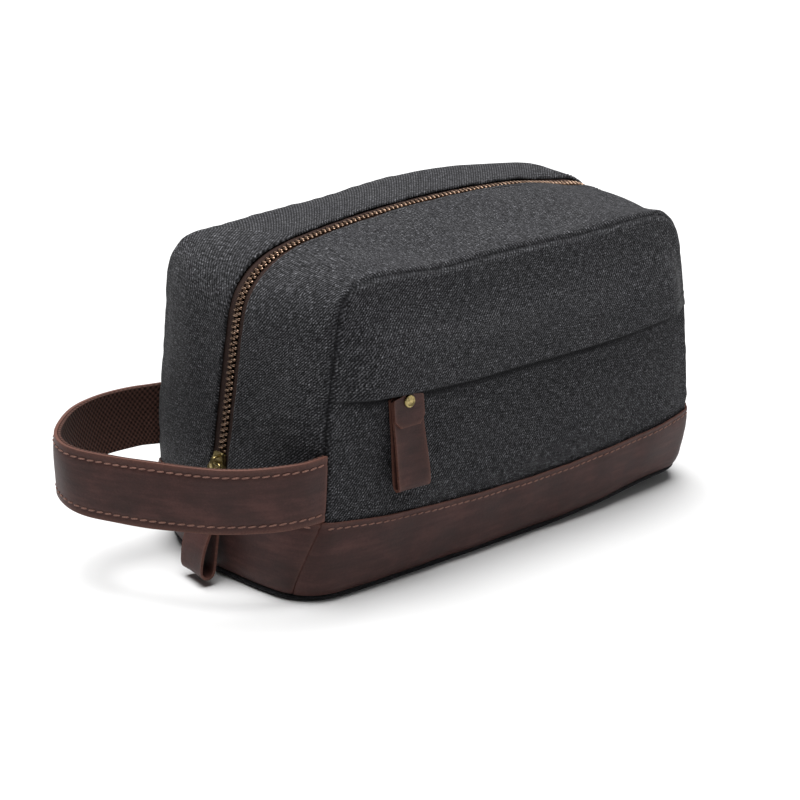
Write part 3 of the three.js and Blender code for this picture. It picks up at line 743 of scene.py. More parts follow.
def gusset_grid(first, last, y_seam, y_zip, pitch=2.6):
    """u along the gusset and y from its crown line, for places a step apart."""
    run = np.interp([first, last], DENSE, SEAM_RUN)
    s = steps(run[1] - run[0], pitch) + run[0]
    y = y_seam - steps(y_seam - y_zip, pitch)
    u, y = np.meshgrid(np.interp(s, SEAM_RUN, DENSE), y, indexing="ij")
    return u, y, np.repeat(s[:, None], u.shape[1], 1)


CANVAS_U = 0.75  # where the gusset's canvas starts along it, behind the leather


def zip_wave(s, y, seed):
    """How the canvas waves beside the zip."""
    return 0.35 * ripple(s, seed + 2, (21, 37, 60)) * np.exp(-(y - MOUTH_HALF) / 12)


def gusset(name, side, seed):
    """Half of the gusset: rolled at the panel seam, folded back beside the zip."""
    u, y, s = gusset_grid(CANVAS_U, LAST - CANVAS_U, SEAM_Y, MOUTH_HALF)
    d_seam, d_zip = SEAM_Y - y, y - MOUTH_HALF
    z = on_gusset(side, u, y)[..., 2]
    pucker = 0.4 * ripple(s, seed) * np.exp(-d_seam / 8) * smooth(d_seam / 2.5)
    dents = 0.6 * swell(s, y * 1.5, seed + 4, 75) + 0.18 * swell(s, y * 1.5, seed + 6, 28)
    dents = dents * smooth(d_seam / 12) * smooth(d_zip / 10)
    lift = seam_turn(d_seam) + rolled(d_zip, 1.3) + pucker + zip_wave(s, y, seed) + dents
    lift = lift + 0.6 * smooth((z - BASE_TOP) / 8)
    grid = lifted(on_gusset(side, u, y), lift)
    uv = np.stack([y * side, s * -side], -1)
    # Painted shade darkens the gusset's seam groove.
    shade = seam_shade(d_seam)
    piece = sheet(f"canvas_gusset_{name}", grid, uv, CANVAS_SIDE, CANVAS, shade, soft=0.5)
    finished(piece, "bag", [f"gusset_{name}"])
    lines = gusset_topstitch(side, seed)
    stitching(f"gusset_stitching_{name}", lines, "bag", DARK_THREAD, 3.0, 2.3, 0.22)


def gusset_topstitch(side, seed):
    """A row of dark stitches beside the zip."""
    s = np.arange(*np.interp([1.05, LAST - 1.05], DENSE, SEAM_RUN), 2.0)
    u = np.interp(s, SEAM_RUN, DENSE)
    y = np.array([MOUTH_HALF + 3.4, MOUTH_HALF + 2.4])
    u, y = np.meshgrid(u, y, indexing="ij")
    s = np.repeat(s[:, None], 2, 1)
    grid = on_gusset(side, u, y)
    lift = zip_wave(s, y, seed) + 0.6 * smooth((grid[..., 2] - BASE_TOP) / 8)
    return [(lifted(grid, lift)[:, 0], normals(grid)[:, 0])]


pocket_front()
upper_front()
back_panel()
gusset("front", -1, 41)
gusset("back", 1, 51)


# ---- leather base ----
def edge_wear(distance, reach=1.3):
    """How rubbed leather is, this far from its cut edge."""
    return np.exp(-np.maximum(distance, 0) / reach)


STITCH_IN = 3.2  # the base's stitch line, below its top edge
LEATHER_FOOT = BASE_FOOT + 1.0  # a strip of the canvas underside shows below this


def turned_corner(points, d, z, centre, inward):
    """Rounds the base's upright corners, more so towards the floor."""
    radius = 4 + 15 * np.clip(1 - z / BASE_TOP, 0, 1) ** 1.2
    angle = np.clip(1 - d / radius, 0, 2) * np.pi / 4
    slide = np.where(d < radius, radius * (1 - np.sin(angle)) - d, 0)
    return points + slide[..., None] * centre + (radius * (1 - np.cos(angle)))[..., None] * inward


def seam_lean(z):
    """How far the corner seams lean on to the ends, towards the floor."""
    return 11 * np.clip(1 - z / BASE_TOP, 0, 1) ** 1.1


def base_wall(side, x, z):
    """The front or back wall of the base, with its turned corners, and its seam distance."""
    to_left, to_right = x - left_seam(z), right_seam(z) - x
    seam = np.minimum(to_left, to_right)
    way = np.where(to_left < to_right, 1.0, -1.0)
    x = x - way * seam_lean(z) * smooth(1 - seam / 40)
    d = seam - seam_lean(z) * smooth(1 - seam / 40)
    centre = way[..., None] * np.array([1.0, 0, 0])
    wall = turned_corner(on_panel(side, x, z), d, z, centre, np.array([0.0, -side, 0]))
    u = np.interp(z, DENSE_SEAM[on_left, 1], DENSE[on_left])
    at_seam = on_gusset(1, u, SEAM_Y + 0 * z)[..., 0]
    leaning = on_gusset(1, u, SEAM_Y - seam_lean(z))[..., 0]
    wall[..., 0] -= way * (at_seam - leaning) * smooth(1 - seam / 40)
    return wall, seam


def base_end_wall(u, y):
    """An end wall of the base, with its turned corners, and its seam distance."""
    seam = SEAM_Y - np.abs(y)
    y = y * (1 - seam_lean(on_gusset(1, u, y)[..., 2]) / SEAM_Y)
    grid = on_gusset(1, u, y)
    centre = -np.sign(y)[..., None] * np.array([0.0, 1, 0])
    inward = np.array([1.0 if np.mean(u) < LAST / 2 else -1.0, 0, 0])
    return turned_corner(grid, SEAM_Y - np.abs(y), grid[..., 2], centre, inward), seam


def base_lift(d_top, d_corner, x, z, seed):
    channel = -0.4 * np.exp(-((d_top - STITCH_IN) / 0.9) ** 2)
    puckers = 0.25 * ripple(x, seed, (6, 9, 15)) * np.exp(-d_top / 6)
    dents = 0.45 * swell(x, z, seed + 3, 46) * smooth(d_corner / 10)
    tuck = -2.0 * np.clip(1 - (z - LEATHER_FOOT) / 9, 0, 1) ** 2
    rolls = rolled(d_corner, 1.0), rolled(d_top, 0.5)
    return 0.3 + LEATHER + channel + puckers + dents + tuck + rolls[0] + rolls[1]


def base_front_back(name, side, seed):
    x, z = level_grid(lambda a: 0 * a + LEATHER_FOOT, base_edge, 2.4)
    wall, d_corner = base_wall(side, x, z)
    d_top = z[:, -1:] - z
    grid = lifted(wall, base_lift(d_top, d_corner, x, z, seed))
    edge = edge_wear(d_top) + 0.6 * edge_wear(d_corner, 1.2) + 0.25 * edge_wear(z - LEATHER_FOOT)
    piece = sheet(f"leather_base_{name}", grid, flat_uv(x, z), LEATHER_PAINT, LEATHER, edge)
    finished(piece, "bag", [f"base_band_{name}"])
    a = np.linspace(0.012, 0.988, 120)
    z = base_edge(a) - STITCH_IN
    x = mix(left_seam(z), right_seam(z), a)
    x, z = np.stack([x, x], 1), np.stack([z, z - 1], 1)
    wall, d = base_wall(side, x, z)
    line = lifted(wall, base_lift(STITCH_IN + 0 * x, d, x, z, seed))
    return line[:, 0], normals(line)[:, 0]


def base_end(name, foot, top, seed):
    """An end band of the base, from the front corner seam round to the back one."""
    y = steps(2 * SEAM_Y, 2.4) - SEAM_Y
    run = np.interp([foot, top], DENSE, SEAM_RUN)
    rows = np.linspace(run[0], run[1], 24)
    u, y = np.meshgrid(np.interp(rows, SEAM_RUN, DENSE), y, indexing="ij")
    wall, d_corner = base_end_wall(u, y)
    z = wall[..., 2]
    d_top = np.abs(rows[-1] - rows)[:, None] + 0 * y
    placed_wall = lifted(wall, base_lift(d_top, d_corner, y, z, seed))
    edge = edge_wear(d_top) + 0.6 * edge_wear(d_corner, 1.2)
    uv = np.stack([y, z], -1)
    piece = sheet(f"leather_base_{name}", placed_wall, uv, LEATHER_PAINT, LEATHER, edge)
    finished(piece, "bag", [f"base_band_{name}"])
    y = np.linspace(-SEAM_Y + 3, SEAM_Y - 3, 80)
    u = np.interp(rows[-1] - math.copysign(STITCH_IN, rows[-1] - rows[0]), SEAM_RUN, DENSE)
    u, y = np.meshgrid([u, u + 0.01], y, indexing="ij")
    wall, d = base_end_wall(u, y)
    line = lifted(wall, base_lift(STITCH_IN + 0 * y, d, y, wall[..., 2], seed))
    return line[0], normals(line)[0]


foot_u = float(np.interp(LEATHER_FOOT, DENSE_SEAM[on_left, 1], DENSE[on_left]))
rows = [base_front_back("front", -1, 61), base_front_back("back", 1, 62)]
rows += [base_end("left", foot_u, 0.99, 63), base_end("right", LAST - foot_u, LAST - 0.99, 64)]
stitching("base_stitching", rows, "bag", pitch=4.6, length=3.7, radius=0.45)


def base_outline(z):
    """The base's outline at a height, once round, with its outward directions."""
    a = np.linspace(0, 1, 110, endpoint=False)
    zz = 0 * a + z
    x = mix(left_seam(zz), right_seam(zz), a)
    front, back = (base_wall(side, x, zz)[0] for side in (-1, 1))
    y = np.linspace(-1, 1, 56, endpoint=False) * SEAM_Y
    u = float(np.interp(z, DENSE_SEAM[on_left, 1], DENSE[on_left]))
    right, left = (base_end_wall(k + 0 * y, y)[0] for k in (LAST - u, u))
    loop = np.concatenate([front, right, back[::-1], left[::-1]])
    for _ in range(6):
        loop = (np.roll(loop, 1, 0) + 2 * loop + np.roll(loop, -1, 0)) / 4
    tangent = np.roll(loop, -1, 0) - np.roll(loop, 1, 0)
    return loop, unit(sideways(tangent))


def underside():
    """The canvas underside: flat to stand on, with a rolled edge below the leather."""
    roll = [(8, -1.6), (5, -1.4), (3.8, -1.1), (3.3, -0.2), (2.9, 0.45), (2.2, 0.8), (1.5, 0.75),
            (0.9, 0.35), (0.4, -0.4), (0.1, -1.5), (0, -3)]
    # The rolled edge's rings are darkened 0.7 of the way to near-black; the flat floor keeps the
    # canvas colour.
    rings, shade = [], []
    for z, lift in roll:
        loop, out = base_outline(max(z, BASE_FOOT))
        ring = loop + out * lift
        ring[:, 2] = z
        rings.append(ring)
        shade.append(0.7)
    centre = rings[-1].mean(0)
    for share in np.linspace(0.95, 0.15, 14):
        rings.append(centre + (rings[len(roll) - 1] - centre) * share)
        shade.append(0.0)
    grid = np.stack(rings, 1)
    verts = grid.reshape(-1, 3)
    faces = grid_faces(grid.shape[0], grid.shape[1], closed=True)
    dark = np.tile(shade, len(grid))
    uv = verts[:, :2] + verts[:, 2:]
    piece = mesh_piece("canvas_underside", verts, faces, CANVAS_SIDE, uv, dark)
    thickened(tidy_normals(piece, close_floor=True), 1.2)
    finished(piece, "bag", ["bottom_panel"])


underside()


# ---- swept and turned shapes ----
def spread(direction, path):
    """A direction for each point of a path, given once or for every point."""
    return np.broadcast_to(np.asarray(direction, float), path.shape)


def swept(path, side, across, sections, closed=False):
    """Rings round a path: side and across are its cross directions, sections their outlines.

    A direction or an outline that stays the same is given once.
    """
    n = len(path)
    side, across = (spread(v, path)[:, None] for v in (side, across))
    sections = np.broadcast_to(sections, (n, *sections.shape[-2:]))
    rings = path[:, None] + sections[..., 0:1] * side + sections[..., 1:2] * across
    m = rings.shape[1]
    faces = []
    for i in range(n if closed else n - 1):
        j = (i + 1) % n
        for k in range(m):
            h = (k + 1) % m
            faces.append((i * m + k, j * m + k, j * m + h, i * m + h))
    if not closed:
        faces += [tuple(range(m)), tuple((n - 1) * m + k for k in range(m))[::-1]]
    return rings.reshape(-1, 3), faces


def squircle(a, b, power=4.0, count=16):
    """A rounded rectangle's outline, a and b its half sizes."""
    t = np.linspace(0, 2 * np.pi, count, False)
    c, s = np.cos(t), np.sin(t)
    return np.stack([a * np.sign(c) * np.abs(c) ** (2 / power),
                     b * np.sign(s) * np.abs(s) ** (2 / power)], -1)


def turned(profile, sides=40):
    """A shape turned round its z axis from a profile of (radius, z)."""
    t = np.linspace(0, 2 * np.pi, sides, False)
    verts = [[r * math.cos(a), r * math.sin(a), z] for r, z in profile for a in t]
    faces = []
    for i in range(len(profile) - 1):
        for k in range(sides):
            h = (k + 1) % sides
            faces.append((i * sides + k, i * sides + h, (i + 1) * sides + h, (i + 1) * sides + k))
    last = (len(profile) - 1) * sides
    faces += [tuple(range(sides))[::-1], tuple(last + k for k in range(sides))]
    return verts, faces


def plate(outline, z0, z1):
    """A flat plate of an outline, from z0 to z1."""
    n = len(outline)
    verts = [[x, y, z] for z in (z0, z1) for x, y in outline]
    faces = [tuple(range(n))[::-1], tuple(range(n, 2 * n))]
    faces += [(k, (k + 1) % n, n + (k + 1) % n, n + k) for k in range(n)]
    return verts, faces


def merged(shapes):
    """Several (points, faces) as one."""
    verts, faces = [], []
    for points, sides in shapes:
        faces += [tuple(len(verts) + k for k in f) for f in sides]
        verts += [list(p) for p in points]
    return verts, faces


# ---- zips ----
CHAIN_HALF = 2.9  # half the width of the closed teeth
TAPE_TOP = -1.5  # height of the tape over the canvas face
TOOTH_PITCH = 3.0
TAPE_U, TEETH_U = 0.9, 1.02  # where the main zip's tape and teeth start along the gusset


def tooth():
    """A metal tooth: y from its clamp on the tape in to its head, z outwards, x the travel."""
    sections = [
        (2.95, 0.55, -2.5, -0.9), (2.75, 0.72, -2.9, -0.5), (1.9, 0.78, -3.0, -0.4),
        (1.2, 0.66, -2.9, -0.45), (0.5, 0.60, -2.8, -0.5), (-0.3, 0.56, -2.75, -0.55),
        (-0.8, 0.34, -2.4, -0.85),
    ]
    path = np.array([[0, y, (low + high) / 2] for y, _, low, high in sections])
    outlines = [squircle(half, (high - low) / 2, 4, 10) for _, half, low, high in sections]
    return swept(path, (1, 0, 0), (0, 0, 1), np.array(outlines))


def chain(name, points, directions, ups, sides, nodes):
    """Both rows of a closed chain's teeth, along points on the zip's face."""
    run = lengths(points)
    lines = [spread(v, points) for v in (points, directions, ups)]
    half_turn = np.diag([-1.0, -1, 1, 1])
    for side, node, shift in zip(sides, nodes, (0.25, 0.75)):
        count = int(run[-1] / TOOTH_PITCH)
        at = (np.arange(count) + shift) * run[-1] / count
        places = [basis(*parts) for parts in zip(*(read_at(at, run, v) for v in lines))]
        if side < 0:
            places = [place @ half_turn for place in places]
        piece = joined_copies(f"{name}_teeth_{node.split('_')[-1]}", tooth(), places, COPPER_PAINT)
        finished(tidy_normals(piece), "bag", [node])


def crown_line(first, step):
    """Points along the zip's middle line, with its directions and outward normals."""
    run = np.interp([first, LAST - first], DENSE, SEAM_RUN)
    u = np.interp(np.arange(run[0], run[1], step), SEAM_RUN, DENSE)
    u, y = np.meshgrid(u, [0.0, 2.0], indexing="ij")
    grid = on_gusset(1, u, y)
    direction = np.gradient(grid[:, 0], axis=0)
    up = normals(grid)[:, 0]
    up[:, 1] = 0
    return grid[:, 0], direction, up


def main_zip():
    points, directions, ups = crown_line(TEETH_U, 1.5)
    teeth = ("main_zip_teeth_front", "main_zip_teeth_back")
    chain("main_zip", points, directions, ups, (-1, 1), teeth)
    for name, side in (("front", -1), ("back", 1)):
        u, y, s = gusset_grid(TAPE_U, LAST - TAPE_U, 13.5, CHAIN_HALF - 0.6, 2.0)
        grid = on_gusset(side, u, y)
        lift = TAPE_TOP - 0.1 + 0.12 * ripple(s, 71, (8, 13)) - 0.5 * smooth((y - 8) / 4)
        uv = np.stack([y, s], -1)
        cloth = lifted(grid, lift)
        piece = sheet(f"main_zip_tape_cloth_{name}", cloth, uv, TAPE_PAINT, 0.7, soft=0.15)
        finished(piece, "bag", [f"main_zip_tape_{name}"])


def brass(name, shape, place=np.eye(4)):
    return tidy_normals(mesh_piece(name, *placed(shape, place), BRASS_PAINT))


def stop_clip(node):
    """A small metal stop, rounded on all its edges."""
    low, high = box(node)
    centre, half = (low + high) / 2, (high - low) / 2
    rows = np.linspace(-1, 1, 5)
    path = np.array([[centre[0], centre[1], centre[2] + half[2] * r] for r in rows])
    shrink = np.array([0.75, 0.97, 1, 0.97, 0.75])
    outlines = np.array([squircle(half[0] * k, half[1] * k, 5, 24) for k in shrink])
    piece = brass(node.replace("_stop", "_end_stop"), swept(path, (1, 0, 0), (0, 1, 0), outlines))
    finished(bevelled(piece, 0.25), "bag", [node])


def pocket_zip():
    low, high = box("pocket_zip_teeth_upper")
    z, y = low[2] - 0.5, low[1] - 0.4
    x = np.arange(low[0], high[0], 1.5)
    points = np.stack([x, 0 * x + y, 0 * x + z], -1)
    teeth = ("pocket_zip_teeth_upper", "pocket_zip_teeth_lower")
    chain("pocket_zip", points, (1, 0, 0), (0, -1, 0), (1, -1), teeth)
    for node in ("pocket_zip_tape_upper", "pocket_zip_tape_lower"):
        low, high = box(node)
        x, z = steps(high[0] - low[0], 3) + low[0], np.linspace(low[2], high[2], 6)
        x, z = np.meshgrid(x, z, indexing="ij")
        grid = np.stack([x, low[1] + 0.12 + 0.1 * ripple(x, 73, (9, 14)), z], -1)
        uv = np.stack([z, x], -1)
        piece = sheet(node.replace("tape", "tape_cloth"), grid, uv, TAPE_PAINT, 0.6, soft=0.15)
        finished(piece, "bag", [node])


main_zip()
pocket_zip()
for which in ("main", "pocket"):
    for end in ("left", "right"):
        stop_clip(f"{which}_zip_stop_{end}")


# ---- sliders, rings and pulls, in frames of their own as in the CAD ----
# Local x is the travel, y the width of the zip and z outwards from the canvas face.
# Everything hangs towards -x.
SLIDER_TOP = 1.5
SLIDER_UNDER = -4.6
BRIDGE_HALF = 4.4
BRIDGE_TOP = 5.7
WIRE = 0.7
BAIL_HALF = 4.2
BAIL_DROP = 11
BAIL_HEIGHT = 2.6
STRIP = 1.5
BACK = -1.5 * STRIP
FRONT = 1.5 * STRIP
RIVET_DROP = 4


def turn_y(angle):
    return np.array(Matrix.Rotation(math.radians(angle), 4, "Y"))


def shifted(x, y, z):
    m = np.eye(4)
    m[:3, 3] = x, y, z
    return m


def slider_shape():
    """Two shield-shaped plates joined by side walls and a wedge, with an arched bridge."""
    half = [(6, 2.9), (5.4, 3.7), (3, 4.2), (0, 4.4), (-3, 4.8), (-5.2, 4.7), (-6, 3.8)]
    outline = [(x, -y) for x, y in half[::-1]] + [(x, y) for x, y in half]
    wall = [(5.2, 3.2), (5.2, 3.9), (0, 4.4), (-3.4, 4.78), (-5, 4.6), (-5, 3.5)]
    walls = [plate([(x, s * y) for x, y in wall][::s], -1.3, 0.1) for s in (1, -1)]
    plates = [plate(outline, 0.0, SLIDER_TOP), plate(outline, SLIDER_UNDER, SLIDER_UNDER + 1.2)]
    return merged(plates + walls)


def bridge_shape():
    t = np.linspace(0, np.pi, 17)
    x = -np.cos(t) * (BRIDGE_HALF - 0.7)
    z = SLIDER_TOP - 0.3 + (BRIDGE_TOP - SLIDER_TOP - 0.3) * np.sin(t) ** 0.55
    path = np.stack([x, 0 * x, z], -1)
    tangent = unit(np.gradient(path, axis=0))
    across = np.stack([-tangent[:, 2], 0 * x, tangent[:, 0]], -1)
    return swept(path, (0, 1, 0), across, squircle(1.2, 0.55, 4, 14))


def bail_shape():
    """A ring of round wire in the xy plane, its upper bar at the origin."""
    bend, per_bend = 1.6, 9
    corners = [(-bend, BAIL_HALF - bend, 0), (bend - BAIL_DROP, BAIL_HALF - bend, 90),
               (bend - BAIL_DROP, bend - BAIL_HALF, 180), (-bend, bend - BAIL_HALF, 270)]
    path = []
    for cx, cy, start in corners:
        for a in np.radians(np.linspace(start, start + 90, per_bend)):
            path.append([cx + bend * math.cos(a), cy + bend * math.sin(a), 0])
    path = np.array(path)
    side = sideways(unit(np.roll(path, -1, 0) - np.roll(path, 1, 0)))
    return swept(path, side, (0, 0, 1), squircle(WIRE, WIRE, 2, 14), closed=True)


def pull_line(length, tab_end, gape):
    """The middle line of the folded strip, as (drop, outwards, half width share)."""
    mid = STRIP / 2

    def gap(p):
        return 0.3 + gape * smooth((p - 9) / (length - 18))

    tab = [(p, BACK + 2.5 * STRIP + gap(p) - 0.3) for p in np.linspace(tab_end, 3.4, 9)]
    turn = 0.95 + mid
    fold = [(turn * -math.sin(a), turn * math.cos(a)) for a in np.linspace(0.15, math.pi, 13)]
    back = [(p, BACK + mid) for p in np.linspace(3.4, length - 5.4, 16)]
    foot_z, foot_gap = BACK + mid, STRIP + gap(length)
    radius = foot_gap / 2
    centre_p = length - max(radius, 1.6) - mid
    foot = [(centre_p + max(radius, 1.6) * math.cos(a), foot_z + radius + radius * math.sin(a))
            for a in np.linspace(-math.pi / 2, math.pi / 2, 11)]
    back = [q for q in back if q[0] < centre_p - 0.5]
    loop = [(p, BACK + 1.5 * STRIP + gap(p)) for p in np.linspace(length - 6, 8.5, 14)]
    loop = [q for q in loop if q[0] < centre_p - 0.5]
    hidden = [(p, BACK + 1.5 * STRIP + 0.12) for p in (6.5, 4.5, 3.2)]
    return np.array(tab + fold + back + foot + loop + hidden)


def pull_strip(name, place, width, length, tab_end, gape, twist, seed, node, body):
    """The folded leather strip: its neck in the ring, its shoulders and its chamfered tab."""
    line, run = eased_line(pull_line(length, tab_end, gape), 0.7, 2, 3)
    p, z = line[:, 0], line[:, 1]
    neck = BAIL_HALF - WIRE - 0.35
    shoulder = smooth((p - 0.9) / 1.3) ** 0.6
    half = neck + (width / 2 - neck) * shoulder
    chamfer = np.clip(1 - run / 4.0, 0, 1)
    half = half - 3.6 * chamfer
    foot = smooth((p - length + 6) / 6)
    half = half * (1 + 0.07 * (p / length)) - 0.35 * foot
    rim = np.array([0.9, 0.955, 0.985, 1])
    v = np.concatenate([-rim[::-1], np.linspace(-0.8, 0.8, 9), rim])
    p, v2 = np.meshgrid(p, v, indexing="ij")
    y = v2 * half[:, None]
    tangent = unit(np.gradient(line, axis=0))
    out = np.stack([tangent[:, 1], -tangent[:, 0]], -1)
    warp = 0.35 * swell(run[:, None], y, seed, 30) * smooth((p - 9) / 12)
    dish = -0.22 * (1 - v2 ** 2) * smooth((p - 9) / 12)
    bend = warp + dish
    grid = np.stack([-(p + out[:, None, 0] * bend), y, z[:, None] + out[:, None, 1] * bend], -1)
    turn = twist * smooth(p / length)
    grid[..., 1] += turn * grid[..., 2] - 14 * twist * (p / length) ** 2
    grid[..., 2] -= turn * y
    uv = np.stack([y + 40 * seed, run[:, None] + 0 * y], -1)
    rim = half[:, None] - np.abs(y)
    edge = 1.1 * edge_wear(rim, 0.9) + 0.9 * edge_wear(run[:, None] + 0 * y, 0.9)
    foot_wear = 0.35 * foot[:, None] * (0.4 + 0.6 * v2 ** 2)
    n, m = grid.shape[:2]
    verts, _ = placed((grid.reshape(-1, 3), []), place)
    piece = mesh_piece(name, verts, grid_faces(n, m), LEATHER_PAINT, uv.reshape(-1, 2),
                       (edge + foot_wear).reshape(-1))
    thickened(piece, STRIP - 0.16, 0)
    bevelled(piece, 0.32, 60, 2)
    finished(tidy_normals(piece), body, [node])


def rivet(name, place, prefix, body):
    """A domed rivet on the tab, over a thin rim, and the washer behind."""
    dome = [(0.02, FRONT + 0.8), (1.4, FRONT + 0.8), (2.2, FRONT + 0.88), (2.6, FRONT + 1.1),
            (2.95, FRONT + 1.1), (3.25, FRONT + 0.85), (3.5, FRONT + 0.45), (3.5, FRONT + 0.08),
            (3.1, FRONT - 0.02), (1.2, FRONT - 0.02), (1.1, BACK + 0.6), (0.02, BACK + 0.6)]
    washer = [(0.02, BACK + 0.45), (2.5, BACK + 0.45), (2.8, BACK + 0.2), (2.75, BACK - 0.02),
              (2.2, BACK - 0.12), (1.5, BACK - 0.02), (0.02, BACK)]
    drop = place @ shifted(-RIVET_DROP, 0, 0)
    for part, profile in (("rivet", dome), ("washer", washer)):
        piece = brass(f"{name}_{part}", turned(profile), drop)
        finished(piece, body, [f"{prefix}_pull_{part}"])


def zip_pull(prefix, slider, hang, bail_angle, pull_angle, sizes, seed):
    """A slider, its ring and its pull, each on its own body."""
    plates = bevelled(brass(f"{prefix}_slider_plates", slider_shape(), slider), 0.35)
    finished(plates, f"{prefix}_slider", [f"{prefix}_slider_body"])
    arch = brass(f"{prefix}_slider_bridge", bridge_shape(), slider)
    finished(arch, f"{prefix}_slider")
    bail = slider @ hang @ turn_y(bail_angle)
    ring = brass(f"{prefix}_ring", bail_shape(), bail)
    finished(ring, f"{prefix}_bail", [f"{prefix}_bail"])
    pull = bail @ shifted(-BAIL_DROP, 0, 0) @ turn_y(pull_angle - bail_angle)
    body = f"{prefix}_pull"
    pull_strip(f"{body}_leather", pull, *sizes, seed, f"{body}_strip", body)
    rivet(body, pull, prefix, body)


foot, head = CROWN[1][0], CROWN[1][2]
climb = np.array([head[0] - foot[0], 0, head[1] - foot[1]])
climb /= np.linalg.norm(climb)
MAIN_SLIDER_AT = 14
main_start = [foot[0], 0, foot[1]] + climb * MAIN_SLIDER_AT
main_frame = basis(main_start, climb, [-climb[2], 0, climb[0]])
zip_pull("main", main_frame, shifted(0, 0, BAIL_HEIGHT), 14, 1, (20.5, 48, 14.5, 5.5, 0.16), 3)

pocket_low, pocket_high = box("pocket_slider_body")
pocket_x = (pocket_low[0] + pocket_high[0]) / 2
pocket_z = (pocket_low[2] + pocket_high[2]) / 2
pocket_frame = basis([pocket_x, -70, pocket_z], [1, 0, 0], [0, -1, 0])
quarter = np.array(Matrix.Rotation(math.pi / 2, 4, "Z"))
hang = shifted(-BRIDGE_HALF - 0.4, 1.2 + 0.3 + WIRE, BAIL_HEIGHT) @ quarter
zip_pull("pocket", pocket_frame, hang, 13.7, 4.8, (20, 50.5, 17.2, 2.2, 0), 7)


# ---- wrist strap ----
STRAP_HALF = 17.0
HINGE_X = -146.3
FRONT_Z, BACK_Z = 61.0, 67.5
LOOP = np.array([
    [HINGE_X, -67.3, FRONT_Z],
    [-161, -61, 60.4], [-174.5, -51, 60], [-186, -39, 60], [-200, -16, 60], [-209, 4, 60],
    [-214.5, 22, 60], [-215, 36, 61], [-209, 51, 62], [-198, 62.5, 63.5], [-184, 70.5, 65],
    [-166, 74.3, 66.5],
    [HINGE_X, 72, BACK_Z],
])


def catmull(points, per=24):
    """A smooth line through points."""
    p = np.concatenate([[2 * points[0] - points[1]], points, [2 * points[-1] - points[-2]]])
    out = []
    for i in range(1, len(p) - 2):
        for t in np.linspace(0, 1, per, False):
            a, b, c, d = p[i - 1: i + 3]
            out.append(0.5 * (2 * b + (c - a) * t + (2 * a - 5 * b + 4 * c - d) * t ** 2
                              + (3 * b - a - 3 * c + d) * t ** 3))
    return np.array(out + [p[-2]])


def strap_line():
    front_x, back_x = left_seam(FRONT_Z) - 0.1, left_seam(BACK_Z) - 0.1
    root = [[front_x, -SEAM_Y - 0.2, FRONT_Z], [front_x - 6, -SEAM_Y - 0.5, FRONT_Z]]
    end = [[back_x - 6, SEAM_Y + 2.2, BACK_Z], [back_x, SEAM_Y + 0.3, BACK_Z]]
    return eased_line(catmull(np.concatenate([root, LOOP, end])), 2.0, 0, 2)


def strap_grid(v, lift, seed):
    """Points of a strap layer: v across it from -1 to 1, and lift outwards."""
    line, run = strap_line()
    out = unit(-sideways(np.gradient(line, axis=0)))
    s, v = np.meshgrid(run, v, indexing="ij")
    ease = smooth(np.minimum(s, run[-1] - s) / 16)
    half = STRAP_HALF * (1 - 0.012 * ease) + 0.18 * ripple(s, seed, (34, 55))
    z = line[:, 2][:, None] + half * v
    wave = 0.5 * ripple(s, seed + 1, (48, 80, 130)) * v * ease + 0.35 * ease * (1 - v ** 2)
    wave = wave - 1.8 * v * smooth(np.sin(np.pi * s / run[-1]) * 1.4 - 0.4)
    x = line[:, 0][:, None] + (left_seam(z) - left_seam(line[:, 2])[:, None]) * (1 - ease)
    y = line[:, 1][:, None] + 0 * v
    grid = np.stack([x, y, z], -1) + out[:, None] * (lift + wave)[..., None]
    return grid, s, half * v, run[-1]


STRAP_RIM = np.array([0.92, 0.955, 0.985, 1])
ACROSS = np.concatenate([-STRAP_RIM[::-1], np.linspace(-0.86, 0.86, 21), STRAP_RIM])
STRAP_STITCH = 4.0  # the stitch lines, in from the strap's edges
STRAP_SEED = 81  # the same for each layer, so that all of them wave together
LOOP_MIDDLE = np.array([-150.0, 5.0, 60.0])


def strap_leather():
    v = np.sort(np.concatenate([ACROSS, [-0.79, -0.765, -0.74, 0.74, 0.765, 0.79]]))
    _, _, y, _ = strap_grid(v, 0.0, STRAP_SEED)
    rim = STRAP_HALF - np.abs(y)
    channel = -0.32 * np.exp(-((rim - STRAP_STITCH) / 0.8) ** 2)
    grid, s, y, total = strap_grid(v, 1.95 + channel, STRAP_SEED)
    grid = grid + 0.12 * swell(s, y, 83, 24)[..., None] * normals(grid, LOOP_MIDDLE)
    edge = 1.2 * edge_wear(rim, 1.0) + 0.5 * edge_wear(rim, 3.2)
    edge = edge + edge_wear(np.minimum(s, total - s), 1.0)
    uv = np.stack([s, y], -1)
    piece = sheet("strap_leather_band", grid, uv, LEATHER_PAINT, LEATHER, edge, LOOP_MIDDLE, 0.45)
    nodes = ["strap_leather", "strap_root_leather_front", "strap_root_leather_back"]
    finished(piece, None, nodes)
    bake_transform(piece)


def strap_webbing():
    grid, s, y, _ = strap_grid(ACROSS * 0.985, -0.1 + 0 * ACROSS, STRAP_SEED)
    uv = np.stack([s, y], -1)
    piece = sheet("strap_webbing_band", grid, uv, WEBBING_PAINT, 1.5, None, LOOP_MIDDLE, 0.4)
    nodes = ["strap_webbing", "strap_root_webbing_front", "strap_root_webbing_back"]
    finished(piece, None, nodes)
    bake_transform(piece)


def strap_stitches():
    lines = []
    for edge in (-1, 1):
        v = np.array([edge * (1 - STRAP_STITCH / STRAP_HALF)] * 2) + [0, 0.001]
        line = strap_grid(v, 1.78 + 0 * v, STRAP_SEED)[0][1:-1, 0]
        lines.append((line, -sideways(np.gradient(line, axis=0))))
    piece = stitching("strap_stitching", lines, None, pitch=5.0, length=4.1, radius=0.5)
    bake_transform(piece)


strap_leather()
strap_webbing()
strap_stitches()


